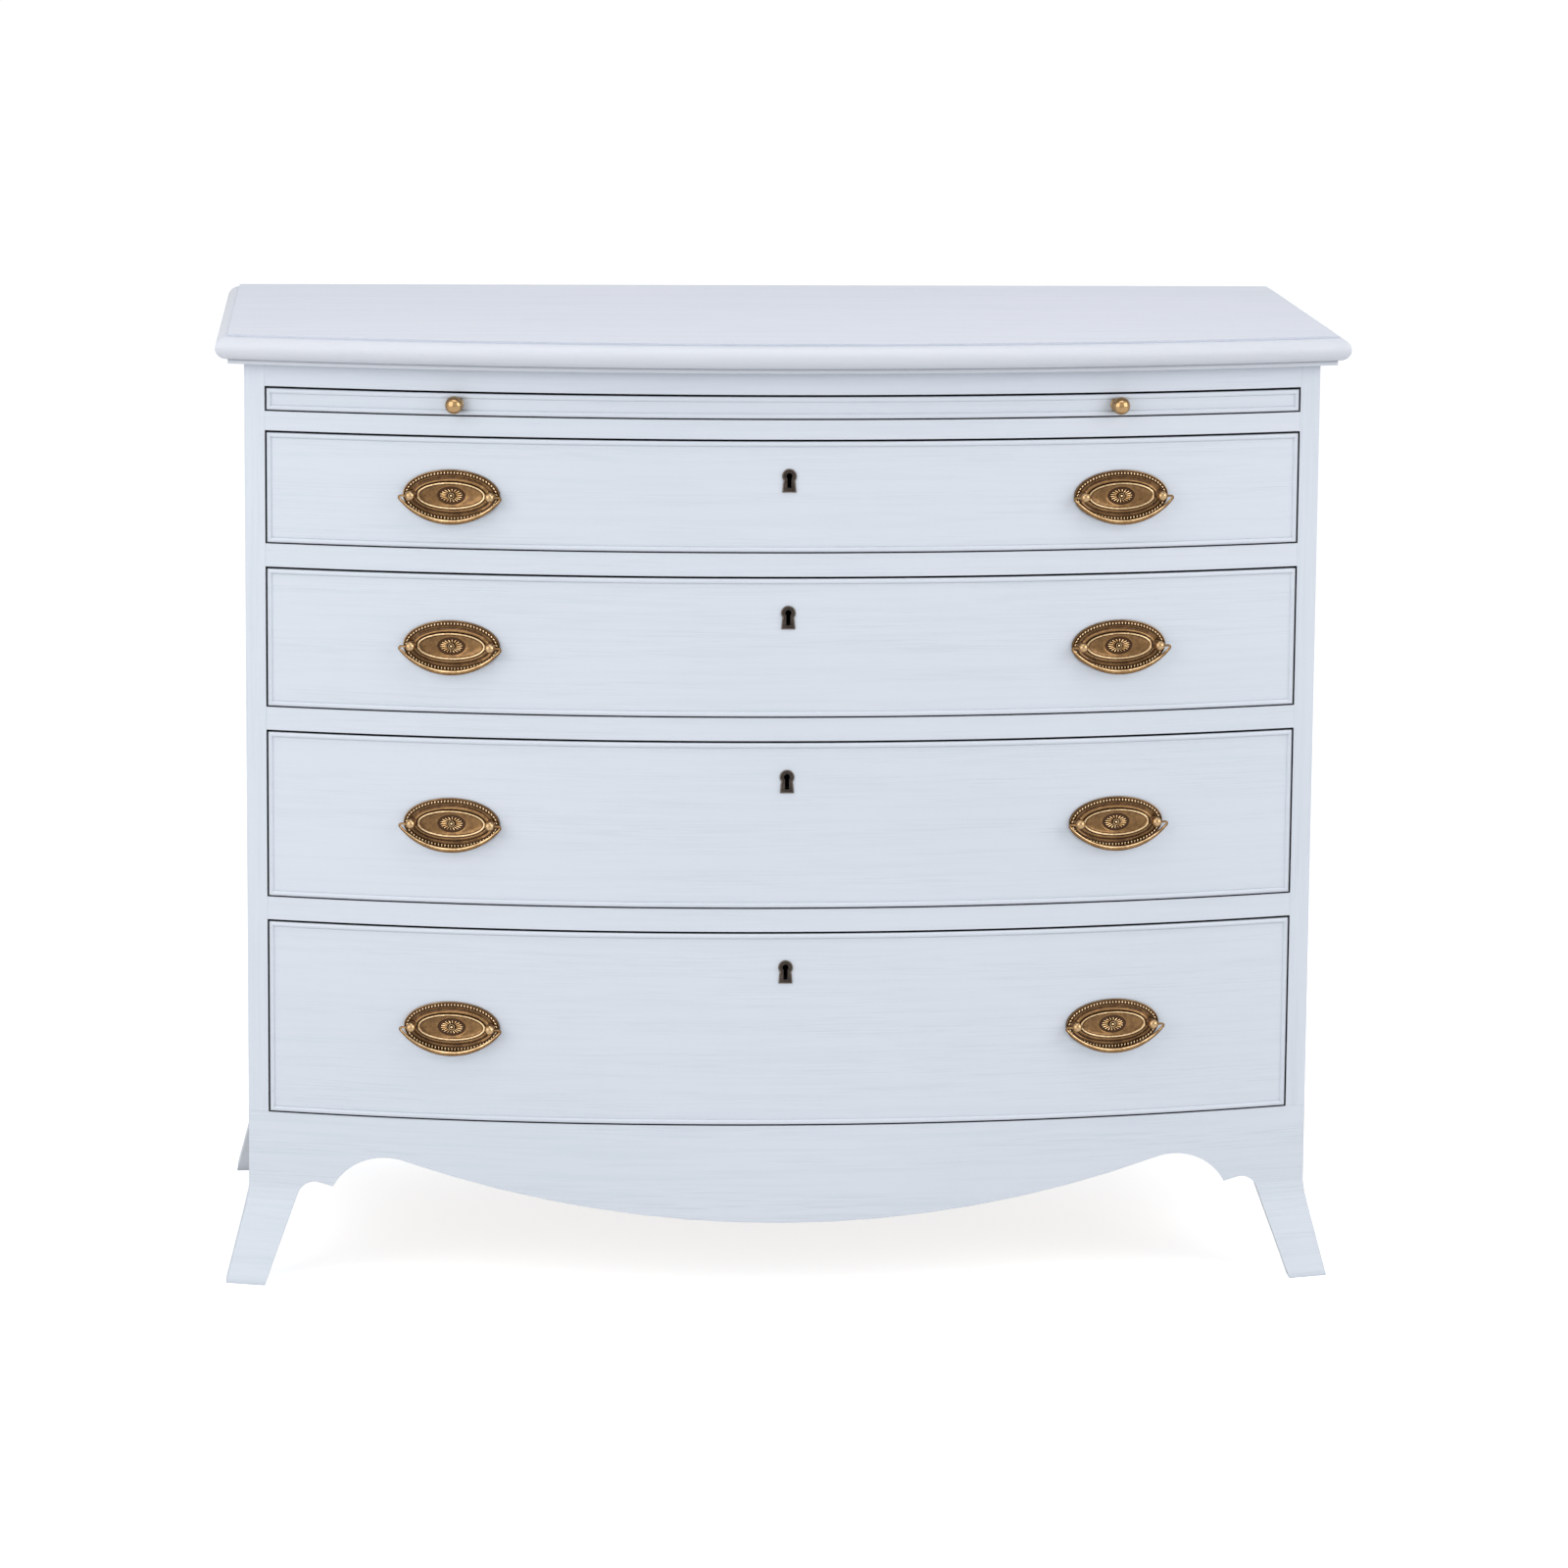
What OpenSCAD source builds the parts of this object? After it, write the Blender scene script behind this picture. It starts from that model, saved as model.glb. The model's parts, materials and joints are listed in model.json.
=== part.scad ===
// Bow-fronted chest of four graduated drawers with a brushing slide.
// Every piece is a separate solid. Millimetres, +Z up, drawers open towards -Y.
// Inside the modules y = 0 is the line through the two front corners of the case.

/* [Case] */
// Width of the case across its front corners
case_w = 950; // [800:10:1100]
// Depth of the case from its front corners to its back
case_d = 465; // [400:5:520]
// How far the middle of the bow stands in front of the corners
bow = 75; // [55:1:90]
// Thickness of the side boards, which show as stiles in front
side_t = 18; // [15:0.5:22]
// Thickness of the back panel
back_t = 6; // [4:0.5:10]
// Width of the rebate that holds the back panel
back_rebate = 9; // [6:0.5:12]
// Thickness of the bottom board
bottom_t = 18; // [12:1:24]

/* [Levels] */
// Height of the lowest drawer opening above the floor
base_h = 154.5; // [140:0.5:200]
// Height of the opening of the top drawer
opening_1 = 100; // [85:1:130]
// Height of the opening of the second drawer
opening_2 = 125; // [100:1:160]
// Height of the opening of the third drawer
opening_3 = 150; // [110:1:190]
// Height of the opening of the bottom drawer
opening_4 = 175; // [120:1:220]
// Height of the opening of the brushing slide
slide_opening = 22; // [19:0.5:26]
// Height of each rail between two drawers
rail_h = 20.5; // [18:0.5:26]
// Height of the rail between the slide and the top drawer
slide_rail_h = 17; // [17:0.5:24]
// Height of the frieze rail under the top
frieze_h = 20; // [16:0.5:30]

/* [Rails and runners] */
// How far the rails reach behind the front corners
rail_back = 40; // [34:1:60]
// Length of the tenon at each end of a rail
tenon_len = 8; // [5:0.5:10]
// Width of a rail's tenon from front to back
tenon_w = 22; // [14:1:26]
// Height of a rail's tenon
tenon_h = 10; // [6:0.5:12]
// Distance of a rail's tenon behind the front corners
tenon_set = 8; // [5:0.5:10]
// Width of a runner, measured from the side board
runner_w = 40; // [25:1:60]
// Height of a runner
runner_h = 16; // [12:0.5:17]
// Depth of the groove in the side board that houses a runner
runner_housing = 4; // [2:0.5:6]
// Width of a drawer stop
stop_w = 40; // [20:1:60]
// Length of a drawer stop from front to back
stop_d = 16; // [10:1:24]
// Height of a drawer stop
stop_h = 5; // [3:0.5:6]
// Distance of a drawer stop from the middle
stop_x = 120; // [80:1:200]

/* [Top] */
// Thickness of the top
top_t = 26; // [20:1:34]
// How far the flat of the top reaches past the case
top_overhang = 14; // [8:0.5:24]
// How far the rounded nose reaches past the flat of the top
nose_reach = 11; // [6:0.5:14]
// Height of the small step above the nose
nose_step_up = 2; // [1:0.5:3]
// Height of the fillet below the nose
nose_step_down = 4; // [2:0.5:6]
// How far the top reaches behind the case
top_back = 2; // [0:0.5:15]

/* [Base] */
// Thickness of the base boards and aprons
base_t = 20; // [16:0.5:24]
// How far the feet splay outwards at the floor
flare = 21; // [10:0.5:26]
// Height at which the splay of the feet begins
flare_h = 85; // [70:1:100]
// Width of the foot under the corner of the case at the floor
foot_toe = 14; // [8:0.5:18]
// Width of a rear foot at the floor, seen from the side
rear_toe = 36.5; // [24:0.5:42]
// Width of the foot at the outer edge of its lobe
foot_knee = 43; // [36:0.5:50]
// Height of the centre of the lobe on the bracket
knee_h = 76; // [66:1:82]
// Radius of the small lobe on the bracket
lobe_r = 17; // [12:0.5:20]
// Distance of the bracket's cusp from the corner of the case
cusp_in = 75; // [68:0.5:84]
// Height of the bracket's cusp
cusp_h = 89.5; // [84:0.5:94]
// Height of the apron's lowest point, at the middle
apron_low = 66; // [50:1:80]
// Height of the two arches of the front apron
arch_h = 118; // [112:1:124]
// Radius of the two arches of the front apron
arch_r = 54; // [46:1:60]
// Height of the straight underside of the side and back aprons
side_arch_h = 106; // [98:1:120]
// Width of a glue block
block_w = 34; // [20:1:50]
// Height of a glue block
block_h = 34; // [20:1:40]

/* [Drawers] */
// Gap above a drawer front
gap_top = 1.8; // [1:0.1:3]
// Gap below a drawer front
gap_bottom = 1.3; // [0.8:0.1:2.5]
// Gap at each end of a drawer front
gap_side = 1.6; // [0.8:0.1:2.5]
// Running clearance between a drawer and what it slides on
run_gap = 0.3; // [0.2:0.05:0.6]
// Thickness of a drawer front
front_t = 22; // [20:0.5:26]
// Thickness of a drawer side
drawer_side_t = 12; // [10:0.5:14]
// Thickness of a drawer back
drawer_back_t = 10; // [8:0.5:14]
// Thickness of a drawer bottom
drawer_bottom_t = 6; // [4:0.5:8]
// Height of a drawer bottom above the lower edge of the sides
bottom_rise = 8; // [7:0.5:12]
// Depth of the grooves that hold a drawer bottom
groove = 4; // [2:0.5:5]
// How far a drawer box ends in front of the back panel
drawer_short = 19; // [8:1:60]
// How far the drawer sides end below the opening above them
side_low = 8; // [5:0.5:14]
// Length of the lapped dovetails in a drawer front
tail_len = 8; // [6:0.5:9]
// Aimed spacing of the dovetails
tail_pitch = 25; // [18:1:40]

/* [Beads] */
// Width of the cockbead round a drawer front
bead_w = 4.4; // [3:0.1:6]
// How far the cockbead stands proud
bead_proud = 1.6; // [1:0.1:2]
// Depth of the cockbead's rebate
bead_d = 7; // [4:0.5:8]

/* [Brushing slide] */
// Thickness of the slide board
slide_t = 18; // [12:0.5:19]
// Thickness of the slide's front lipping
slide_front_t = 18; // [14:0.5:22]
// How far the slide board ends in front of the back panel
slide_short = 40; // [20:1:120]
// Radius of a knob's ball
knob_r = 7.9; // [5:0.1:8.2]
// Distance of a knob's centre from the face
knob_out = 9.6; // [8:0.1:14]
// Radius of a knob's collar
knob_collar_r = 4.6; // [3:0.1:6]
// Distance of the knobs from the middle
knob_x = 290; // [200:1:380]

/* [Handles] */
// Distance of the handles from the middle
handle_x = 294; // [200:1:380]
// How far the handles sit below the middle of a drawer
handle_low = 2.5; // [0:0.5:6]
// Width of a handle's oval plate
plate_w = 86; // [76:1:100]
// Height of a handle's oval plate
plate_h = 47; // [40:1:60]
// Thickness of the flat of the plate
plate_t = 1.4; // [1:0.1:2.5]
// Height of the plate's outer border above the drawer
border_t = 3; // [2:0.1:3.6]
// Width of the plate's outer border
border_w = 3.6; // [2:0.1:5]
// Width of the plate's inner raised oval
inner_w = 60; // [50:1:62]
// Height of the plate's inner raised oval
inner_h = 25; // [18:1:30]
// Width of the rim of the inner oval
inner_rim = 1.3; // [0.8:0.1:2.5]
// Width of the step round the inner oval
step_w = 2.6; // [1:0.1:4]
// Height of that step above the drawer
step_t = 2.2; // [1.6:0.1:2.6]
// Width of the rosette
rosette_w = 21; // [14:0.5:26]
// Height of the rosette
rosette_h = 14; // [8:0.5:16]
// Distance between the posts of a handle
post_pitch = 70.6; // [66:0.2:74]
// Radius of a post's ball
post_r = 4.4; // [3.6:0.1:4.8]
// Distance of the bail's axis from the drawer face
pivot_out = 9; // [8.5:0.1:12]
// Radius of the bail's pivot pins
pin_r = 1.3; // [1:0.05:1.6]
// Radial clearance of the bail's pivot pins
pin_clear = 0.05; // [0.02:0.01:0.09]
// How far each tip of a bail stands past the middle of its post
bail_past = 11.2; // [10:0.1:14]
// How far the bail hangs below its axis
bail_drop = 22; // [18:0.5:26]
// Radius of the bail at its middle
bail_r = 2.5; // [1.6:0.1:2.8]
// Radius of the bail at its tips
bail_tip_r = 1.5; // [1.2:0.1:1.8]

/* [Locks] */
// Distance of a keyhole's round part below the opening's upper edge
key_low = 32; // [28:0.5:40]
// Radius of the round part of a keyhole
key_r = 2.8; // [2:0.1:3.5]
// Width of the slot of a keyhole
key_slot = 3.6; // [1.6:0.1:4]
// Length of the slot of a keyhole below its round part's centre
key_len = 10.8; // [5:0.1:12]
// Width of the escutcheon's round head
esc_w = 13; // [10:0.1:15]
// Height of the escutcheon
esc_h = 20.6; // [18:0.1:24]
// Thickness of the escutcheon
esc_t = 1.2; // [0.8:0.1:2]
// Width of a lock case
lock_w = 50; // [40:1:70]
// Depth of a lock case from front to back
lock_d = 11; // [9:0.5:15]
// Height of a lock case
lock_h = 54; // [44:1:60]
// Width of a lock bolt
bolt_w = 16; // [10:0.5:22]
// Thickness of a lock bolt
bolt_t = 4; // [3:0.1:5]
// Height of a lock bolt
bolt_h = 18; // [12:0.5:22]
// Travel of a lock bolt
bolt_throw = 7.5; // [5:0.5:9]
// Clearance round a lock bolt
bolt_clear = 0.3; // [0.2:0.05:0.5]

/* [Hidden] */

// Colours of the finishes
paint = [0.86, 0.89, 0.93];
bare_oak = [0.80, 0.68, 0.50];
antique_brass = [0.62, 0.46, 0.24];
steel = [0.60, 0.60, 0.60];

// Facets of the long bow curves, of small turned parts and of outlines
bow_fn = 720;
small_fn = 32;
curve_steps = 8;
oval_steps = 40;
// Extra length that lets a cut run clear through a face
cut = 1;
// Far enough from y = 0 to clear the whole bow and its feet
bow_clear = 2 * bow;

// Half widths of a dovetail at its neck and at its wide end, as shares of the spacing
tail_neck = 0.26;
tail_wide = 0.37;
// Angle at which the lobe of a bracket turns down to its cusp
lobe_end_angle = 90;
// How gently a foot leaves the case before it runs straight outwards
splay_ease = 0.08;

// Small hardware
shank_r = 2;
shank_clear = 0.1;
nut_r = 5;
nut_t = 3;
shank_past_nut = 1.5;
collar_r = 4.6;
collar_t = 1.2;
neck_r = 2.4;
knob_collar_t = 3;
knob_shank = 14;
// Depth of the dish inside the inner oval, below its rim
inner_dish = 0.6;
// Half widths of the escutcheon's shoulder, waist and foot as shares of its head
esc_shoulder = 0.42;
esc_waist = 0.41;
esc_waist_place = 0.31;
esc_foot = 0.465;
// Back plate of a lock, and how far a drawn bolt lies below the drawer's edge
lock_plate = 2;
bolt_down = 1;
// Bail: one arc from tip to tip, with a small ball where it turns in to its pins
bail_ball_r = bail_tip_r + 0.2;
bail_steps = 20;
bail_sides = 10;
bail_half = post_pitch / 2 + bail_past - bail_ball_r;
bail_arc_r = (bail_half * bail_half + bail_drop * bail_drop) / (2 * bail_drop);
bail_cz = bail_arc_r - bail_drop;
bail_a = asin(bail_half / bail_arc_r);

// The bow: one circle through both front corners and the middle of the front
half_w = case_w / 2;
bow_r = (half_w * half_w + bow * bow) / (2 * bow);
bow_cy = bow_r - bow;
open_half = half_w - side_t;
y_inner = case_d - back_t;
nose_out = top_overhang + nose_reach;
// Moves the middle of the whole depth onto y = 0
y_mid = (case_d + top_back - bow - nose_out) / 2;

// Levels from the floor up; index 1 is the top drawer
opening_h = [slide_opening, opening_1, opening_2, opening_3, opening_4];
z_4 = base_h;
z_3 = z_4 + opening_4 + rail_h;
z_2 = z_3 + opening_3 + rail_h;
z_1 = z_2 + opening_2 + rail_h;
z_slide = z_1 + opening_1 + slide_rail_h;
opening_z = [z_slide, z_1, z_2, z_3, z_4];
z_frieze = z_slide + slide_opening;
z_top = z_frieze + frieze_h;

// Drawer box
drawer_half = open_half - gap_side;
box_half = drawer_half - drawer_side_t;
front_in_r = bow_r - front_t;
y_flat = bow_y(front_in_r, box_half);
y_box_back = y_inner - drawer_short;
// Depth at which a nut meets the hollow inner face of a drawer front
nut_y = front_t + front_in_r - sqrt(front_in_r * front_in_r - pow(post_pitch / 2 + nut_r, 2));

// Front-to-back place of a circle round the bow's centre at distance x from the middle
function bow_y(r, x) = bow_cy - sqrt(r * r - x * x);
// Outward splay of a foot at height z, which leaves the case upright and then runs nearly straight
function splay(z) = z >= flare_h ? 0 : flare * eased((flare_h - z) / flare_h) / eased(1);
function eased(u) = sqrt(u * u + splay_ease * splay_ease) - splay_ease;
// Points of an arc
function arc(cx, cy, r, a0, a1, n) = [for (i = [0:n]) let (a = a0 + (a1 - a0) * i / n)
    [cx + r * cos(a), cy + r * sin(a)]];
// The same points in the opposite order, and without the first
function reversed(points) = [for (i = [len(points) - 1:-1:0]) points[i]];
function after_first(points) = [for (i = [1:len(points) - 1]) points[i]];
// Heights from the floor to the start of the splay
function splay_heights() = [for (i = [0:curve_steps]) flare_h * i / curve_steps];

module on_floor() {
    translate([0, -y_mid, 0]) children();
}

// Upright disc round the bow's centre
module bow_disc(r, z, h) {
    translate([0, bow_cy, z]) cylinder(r = r, h = h, $fn = bow_fn);
}

// Upright curved wall between two radii
module bow_wall(r_out, r_in, half, z, h) {
    intersection() {
        difference() {
            bow_disc(r_out, z, h);
            bow_disc(r_in, z - cut, h + 2 * cut);
        }
        translate([-half, bow_y(r_out, 0), z]) cube([2 * half, bow_y(r_in, half) - bow_y(r_out, 0), h]);
    }
}

// Full turn of a profile of (radius, height) round the bow's centre
module along_bow() {
    translate([0, bow_cy, 0]) rotate_extrude($fn = bow_fn) children();
}

// Prism of an (x, z) outline between two depths
module front_prism(y0, y1) {
    translate([0, y1, 0]) rotate([90, 0, 0]) linear_extrude(y1 - y0) children();
}

// Prism of a (y, z) outline between two widths
module side_prism(x0, x1) {
    translate([x0, 0, 0]) rotate([90, 0, 90]) linear_extrude(x1 - x0) children();
}

// Puts a piece on the face of the bow at distance x from the middle; -y points out of the face
module on_bow(x, z) {
    translate([0, bow_cy, z]) rotate([0, 0, asin(x / bow_r)]) translate([0, -bow_r, 0]) children();
}

// ---------------------------------------------------------------- top

// Edge of the top as (reach past the case, height) from the underside up
function top_edge() = concat(
    [[top_overhang, 0], [top_overhang, nose_step_down]],
    [for (i = [1:2 * curve_steps - 1]) let (a = -90 + 180 * i / (2 * curve_steps), hh = nose_half())
        [top_overhang + nose_reach * cos(a), nose_step_down + hh + hh * sin(a)]],
    [[top_overhang, top_t - nose_step_up], [top_overhang, top_t]]);
function nose_half() = (top_t - nose_step_up - nose_step_down) / 2;

module top_board() {
    side = concat([[top_overhang, -cut]], top_edge(), [[top_overhang, top_t + cut]]);
    color(paint) on_floor() translate([0, 0, z_top]) intersection() {
        along_bow() polygon(concat([[0, top_t], [0, 0]], [for (p = top_edge()) [bow_r + p[0], p[1]]]));
        front_prism(-bow - nose_out - cut, case_d + top_back) polygon(concat(
            [for (p = side) [half_w + p[0], p[1]]],
            [for (p = reversed(side)) [-half_w - p[0], p[1]]]));
    }
}

// ---------------------------------------------------------------- case

// Builds on the right and mirrors for the left; side is 1 or -1
module on_side(side) {
    mirror([side < 0 ? 1 : 0, 0, 0]) children();
}

// Underside and height of every rail, from the frieze down
function rails() = [[z_frieze, frieze_h], [z_1 + opening_1, slide_rail_h],
    [z_2 + opening_2, rail_h], [z_3 + opening_3, rail_h], [z_4 + opening_4, rail_h]];

// Underside of every runner, and of the kicker above the slide
function runner_levels() = concat([for (n = [0:3]) opening_z[n] - runner_h], [z_frieze]);

// The right-hand tenon of a rail
module tenon(rail) {
    translate([open_half, tenon_set, rail[0] + (rail[1] - tenon_h) / 2]) cube([tenon_len, tenon_w, tenon_h]);
}

// The right-hand runner whose underside is at height z
module runner(z) {
    translate([open_half - runner_w, rail_back, z])
        cube([runner_w + runner_housing, y_inner - rail_back, runner_h]);
}

module side_board(side) {
    color(paint) on_floor() on_side(side) difference() {
        intersection() {
            translate([open_half, -bow, base_h]) cube([side_t, bow + case_d, z_top - base_h]);
            bow_disc(bow_r, base_h, z_top - base_h);
        }
        translate([open_half - cut, y_inner, base_h - cut])
            cube([back_rebate + cut, back_t + cut, z_top - base_h + 2 * cut]);
        for (r = rails()) tenon(r);
        for (z = runner_levels()) runner(z);
    }
}
module side_left() { side_board(-1); }
module side_right() { side_board(1); }

module back_panel() {
    half = open_half + back_rebate;
    color(bare_oak) on_floor() translate([-half, y_inner, base_h]) cube([2 * half, back_t, z_top - base_h]);
}

module bottom_board() {
    half = half_w - base_t;
    color(bare_oak) on_floor() intersection() {
        translate([-half, -bow, base_h - bottom_t]) cube([2 * half, bow + case_d - base_t, bottom_t]);
        bow_disc(bow_r - base_t, base_h - bottom_t, bottom_t);
    }
}

// Front of the bow straight back to the rails' back edge, with a tenon at each end
module rail_body(rail) {
    intersection() {
        translate([-open_half, -bow, rail[0]]) cube([2 * open_half, bow + rail_back, rail[1]]);
        bow_disc(bow_r, rail[0], rail[1]);
    }
    for (side = [-1, 1]) on_side(side) tenon(rail);
}

// Mortise in a rail's underside for the bolt of the lock below
module bolt_mortise(z) {
    translate([-bolt_w / 2 - bolt_clear, bolt_y() - bolt_clear, z - cut])
        cube([bolt_w + 2 * bolt_clear, bolt_t + 2 * bolt_clear, cut + bolt_throw]);
}

module rail(n) {
    r = rails()[n];
    color(paint) on_floor() difference() {
        rail_body(r);
        if (n > 0) bolt_mortise(r[0]);
    }
}
module frieze_rail() { rail(0); }
module slide_rail() { rail(1); }
module rail_1() { rail(2); }
module rail_2() { rail(3); }
module rail_3() { rail(4); }

module runners() {
    color(bare_oak) on_floor() for (side = [-1, 1]) on_side(side) for (z = runner_levels()) runner(z);
}

// Blocks that the inner face of a closed drawer front meets
module drawer_stops() {
    color(bare_oak) on_floor() for (side = [-1, 1], n = [1:4]) on_side(side) intersection() {
        translate([stop_x - stop_w / 2, -bow, opening_z[n]])
            cube([stop_w, bow + bow_y(front_in_r, stop_x) + stop_d, stop_h]);
        bow_disc(front_in_r - run_gap, opening_z[n], stop_h);
    }
}

// ---------------------------------------------------------------- base

// Inner edge of a foot and its bracket, as (distance from the case corner, height), floor upwards
function bracket(toe) = concat(
    [[toe, 0]],
    arc(foot_knee + lobe_r, knee_h, lobe_r, lobe_start(toe), lobe_end_angle, curve_steps),
    [[cusp_in, cusp_h]]);
// Angle at which the straight edge from the toe runs into the lobe without a corner
function lobe_start(toe) = let (run = foot_knee + lobe_r - toe)
    90 + atan2(knee_h, run) + asin(lobe_r / norm([run, knee_h]));

// Outer face of a foot, as (distance outside the case corner, height), floor upwards
function foot_face() = concat([for (z = splay_heights()) [splay(z), z]], [[0, base_h]]);

// Right half of the front apron's lower edge, from the cusp to the middle; each arch starts at its cusp
cusp_x = half_w - cusp_in;
arch_z = arch_h - arch_r;
arch_start = asin((cusp_h - arch_z) / arch_r);
arch_x = cusp_x - arch_r * cos(arch_start);
// The long middle arc meets each arch's arc without a corner
arch_fall = apron_low - arch_z;
drop_r = (arch_x * arch_x + arch_fall * arch_fall - arch_r * arch_r) / (2 * (arch_r - arch_fall));
meet_a = atan2(apron_low + drop_r - arch_z, arch_x);
function front_edge() = concat(
    after_first(arc(arch_x, arch_z, arch_r, arch_start, 180 - meet_a, 2 * curve_steps)),
    [for (i = [1:curve_steps]) let (x = arch_x * drop_r / (drop_r + arch_r) * (1 - i / curve_steps))
        [x, apron_low + drop_r - sqrt(drop_r * drop_r - x * x)]]);

// Outline of the right half of the base front, floor corner first
function front_half() = concat(
    [[half_w + flare, -cut]],
    [for (p = foot_face()) [half_w + p[0], p[1]]],
    [[half_w, base_h + cut], [0, base_h + cut]],
    reversed(front_edge()),
    [for (p = reversed(bracket(foot_toe))) [half_w - p[0], p[1]]],
    [[half_w - foot_toe, -cut]]);

// Curved wall whose feet splay forwards
module splayed_front() {
    along_bow() polygon(concat(
        [for (p = foot_face()) [bow_r + p[0], p[1]]],
        [for (p = reversed(foot_face())) [bow_r - base_t + p[0], p[1]]]));
}

// Everything behind the front face, with its splay
module behind_front() {
    along_bow() polygon(concat([for (p = foot_face()) [bow_r + p[0], p[1]]],
        [[0, base_h], [0, 0]]));
}

// Plan of what lies on the front's side of the right-hand mitre
mitre_in = [half_w - base_t, bow_y(bow_r - base_t, half_w - base_t)];
mitre_dir = [base_t, -mitre_in[1]];
mitre_reach = 3;
mitre_far = [half_w, 0] + mitre_dir * mitre_reach;
module mitre_plan() {
    polygon([[0, mitre_in[1]], mitre_in, mitre_far, [mitre_far[0], -bow_clear], [0, -bow_clear]]);
}

module base_front() {
    color(paint) on_floor() for (side = [-1, 1]) on_side(side) intersection() {
        union() {
            intersection() {
                splayed_front();
                translate([cusp_x, -bow_clear, -cut]) cube([half_w, 2 * bow_clear, base_h + 2 * cut]);
            }
            bow_wall(bow_r, bow_r - base_t, cusp_x, 0, base_h);
        }
        front_prism(-bow_clear, bow_clear) polygon(front_half());
        translate([0, 0, -cut]) linear_extrude(base_h + 2 * cut) mitre_plan();
    }
}

// Outline of a base side, seen from the right, with (depth, height)
function side_outline() = concat(
    [[-flare - cut, base_h + cut], [-flare - cut, -cut], [foot_toe, -cut]],
    bracket(foot_toe),
    [[cusp_in + side_arch_h - cusp_h, side_arch_h], [case_d - cusp_in - side_arch_h + cusp_h, side_arch_h]],
    [for (p = reversed(bracket(rear_toe))) [case_d - p[0], p[1]]],
    [[case_d - rear_toe, -cut], [case_d + cut, -cut], [case_d + cut, base_h + cut]]);

module base_side(side) {
    color(paint) on_floor() on_side(side) difference() {
        intersection() {
            front_prism(-bow_clear, case_d) polygon(concat(
                [for (p = foot_face()) [half_w + p[0], p[1]]],
                [for (p = reversed(foot_face())) [half_w - base_t + p[0], p[1]]]));
            side_prism(0, half_w + flare + cut) polygon(side_outline());
            behind_front();
        }
        translate([0, 0, -cut]) linear_extrude(base_h + 2 * cut) mitre_plan();
    }
}
module base_left() { base_side(-1); }
module base_right() { base_side(1); }

// Straight board across the back, whose feet lean out with the base sides
function back_half() = concat(
    [for (p = foot_face()) [half_w - base_t + p[0], p[1]]],
    [[0, base_h], [0, side_arch_h], [half_w - cusp_in - side_arch_h + cusp_h, side_arch_h]],
    [for (p = reversed(bracket(foot_toe))) [half_w - p[0], p[1]]]);

module base_back() {
    color(paint) on_floor() for (side = [-1, 1]) on_side(side)
        front_prism(case_d - base_t, case_d) polygon(back_half());
}

// Blocks in the inner corners of the base, under the bottom board
module glue_blocks() {
    x = half_w - base_t - block_w;
    z = base_h - bottom_t - block_h;
    color(bare_oak) on_floor() for (side = [-1, 1]) on_side(side) {
        intersection() {
            translate([x, -bow, z]) cube([block_w, bow + bow_y(bow_r - base_t, x) + block_w, block_h]);
            bow_disc(bow_r - base_t, z, block_h);
        }
        translate([x, case_d - base_t - block_w, z]) cube([block_w, block_w, block_h]);
    }
}

// ---------------------------------------------------------------- beads

// Rounded end of a bead, as (height above the rebate, place across its width)
function bead_profile() = concat([[0, 0]],
    [for (i = [0:curve_steps]) let (a = 180 * i / curve_steps)
        [bead_d + bead_proud * sin(a), bead_w / 2 - bead_w / 2 * cos(a)]],
    [[0, bead_w]]);

// Four mitred strips round a front that reaches half to each side, from z0 to z1
module bead_ring(half, z0, z1) {
    w = bead_w;
    for (side = [-1, 1]) on_side(side) intersection() {
        linear_extrude(z1) bead_plan(half);
        front_prism(-bow_clear, bow)
            polygon([[half, z0], [half, z1], [half - w, z1 - w], [half - w, z0 + w]]);
    }
    intersection() {
        along_bow() union() {
            translate([bow_r - bead_d, z1 - w]) polygon(bead_profile());
            translate([bow_r - bead_d, z0]) polygon(bead_profile());
        }
        front_prism(-bow_clear, bow) {
            polygon([[-half, z1], [half, z1], [half - w, z1 - w], [w - half, z1 - w]]);
            polygon([[-half, z0], [half, z0], [half - w, z0 + w], [w - half, z0 + w]]);
        }
    }
}

// Plan of the upright strip of a bead
module bead_plan(half) {
    in_x = half - bead_w;
    lean = cos(asin(half / bow_r));
    front = [for (i = [0:curve_steps]) let (x = half - bead_w * i / curve_steps)
        [x, bow_y(bow_r, x) - bead_proud * sin(180 * i / curve_steps) / lean]];
    polygon(concat(front, [[in_x, bow_y(bow_r - bead_d, in_x)], [half, bow_y(bow_r - bead_d, half)]]));
}

// Room for the bead round a front, cut to a depth
module bead_rebate(half, z0, z1, depth) {
    w = bead_w;
    difference() {
        bow_wall(bow_r + cut, bow_r - depth, half + cut, z0 - cut, z1 - z0 + 2 * cut);
        translate([w - half, -bow_clear, z0 + w]) cube([2 * (half - w), bow_clear + bow, z1 - z0 - 2 * w]);
    }
}

// ---------------------------------------------------------------- drawers

function front_z0(n) = opening_z[n] + gap_bottom;
function front_z1(n) = opening_z[n] + opening_h[n] - gap_top;
function box_z0(n) = opening_z[n] + run_gap;
function box_z1(n) = opening_z[n] + opening_h[n] - side_low;
function bottom_z(n) = opening_z[n] + run_gap + bottom_rise;
function handle_z(n) = opening_z[n] + opening_h[n] / 2 - handle_low;
function key_z(n) = opening_z[n] + opening_h[n] - key_low;
function tails(n) = max(2, round((box_z1(n) - front_z0(n)) / tail_pitch));
function bolt_y() = bow_y(front_in_r, 0) + (lock_d - bolt_t) / 2;

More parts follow.
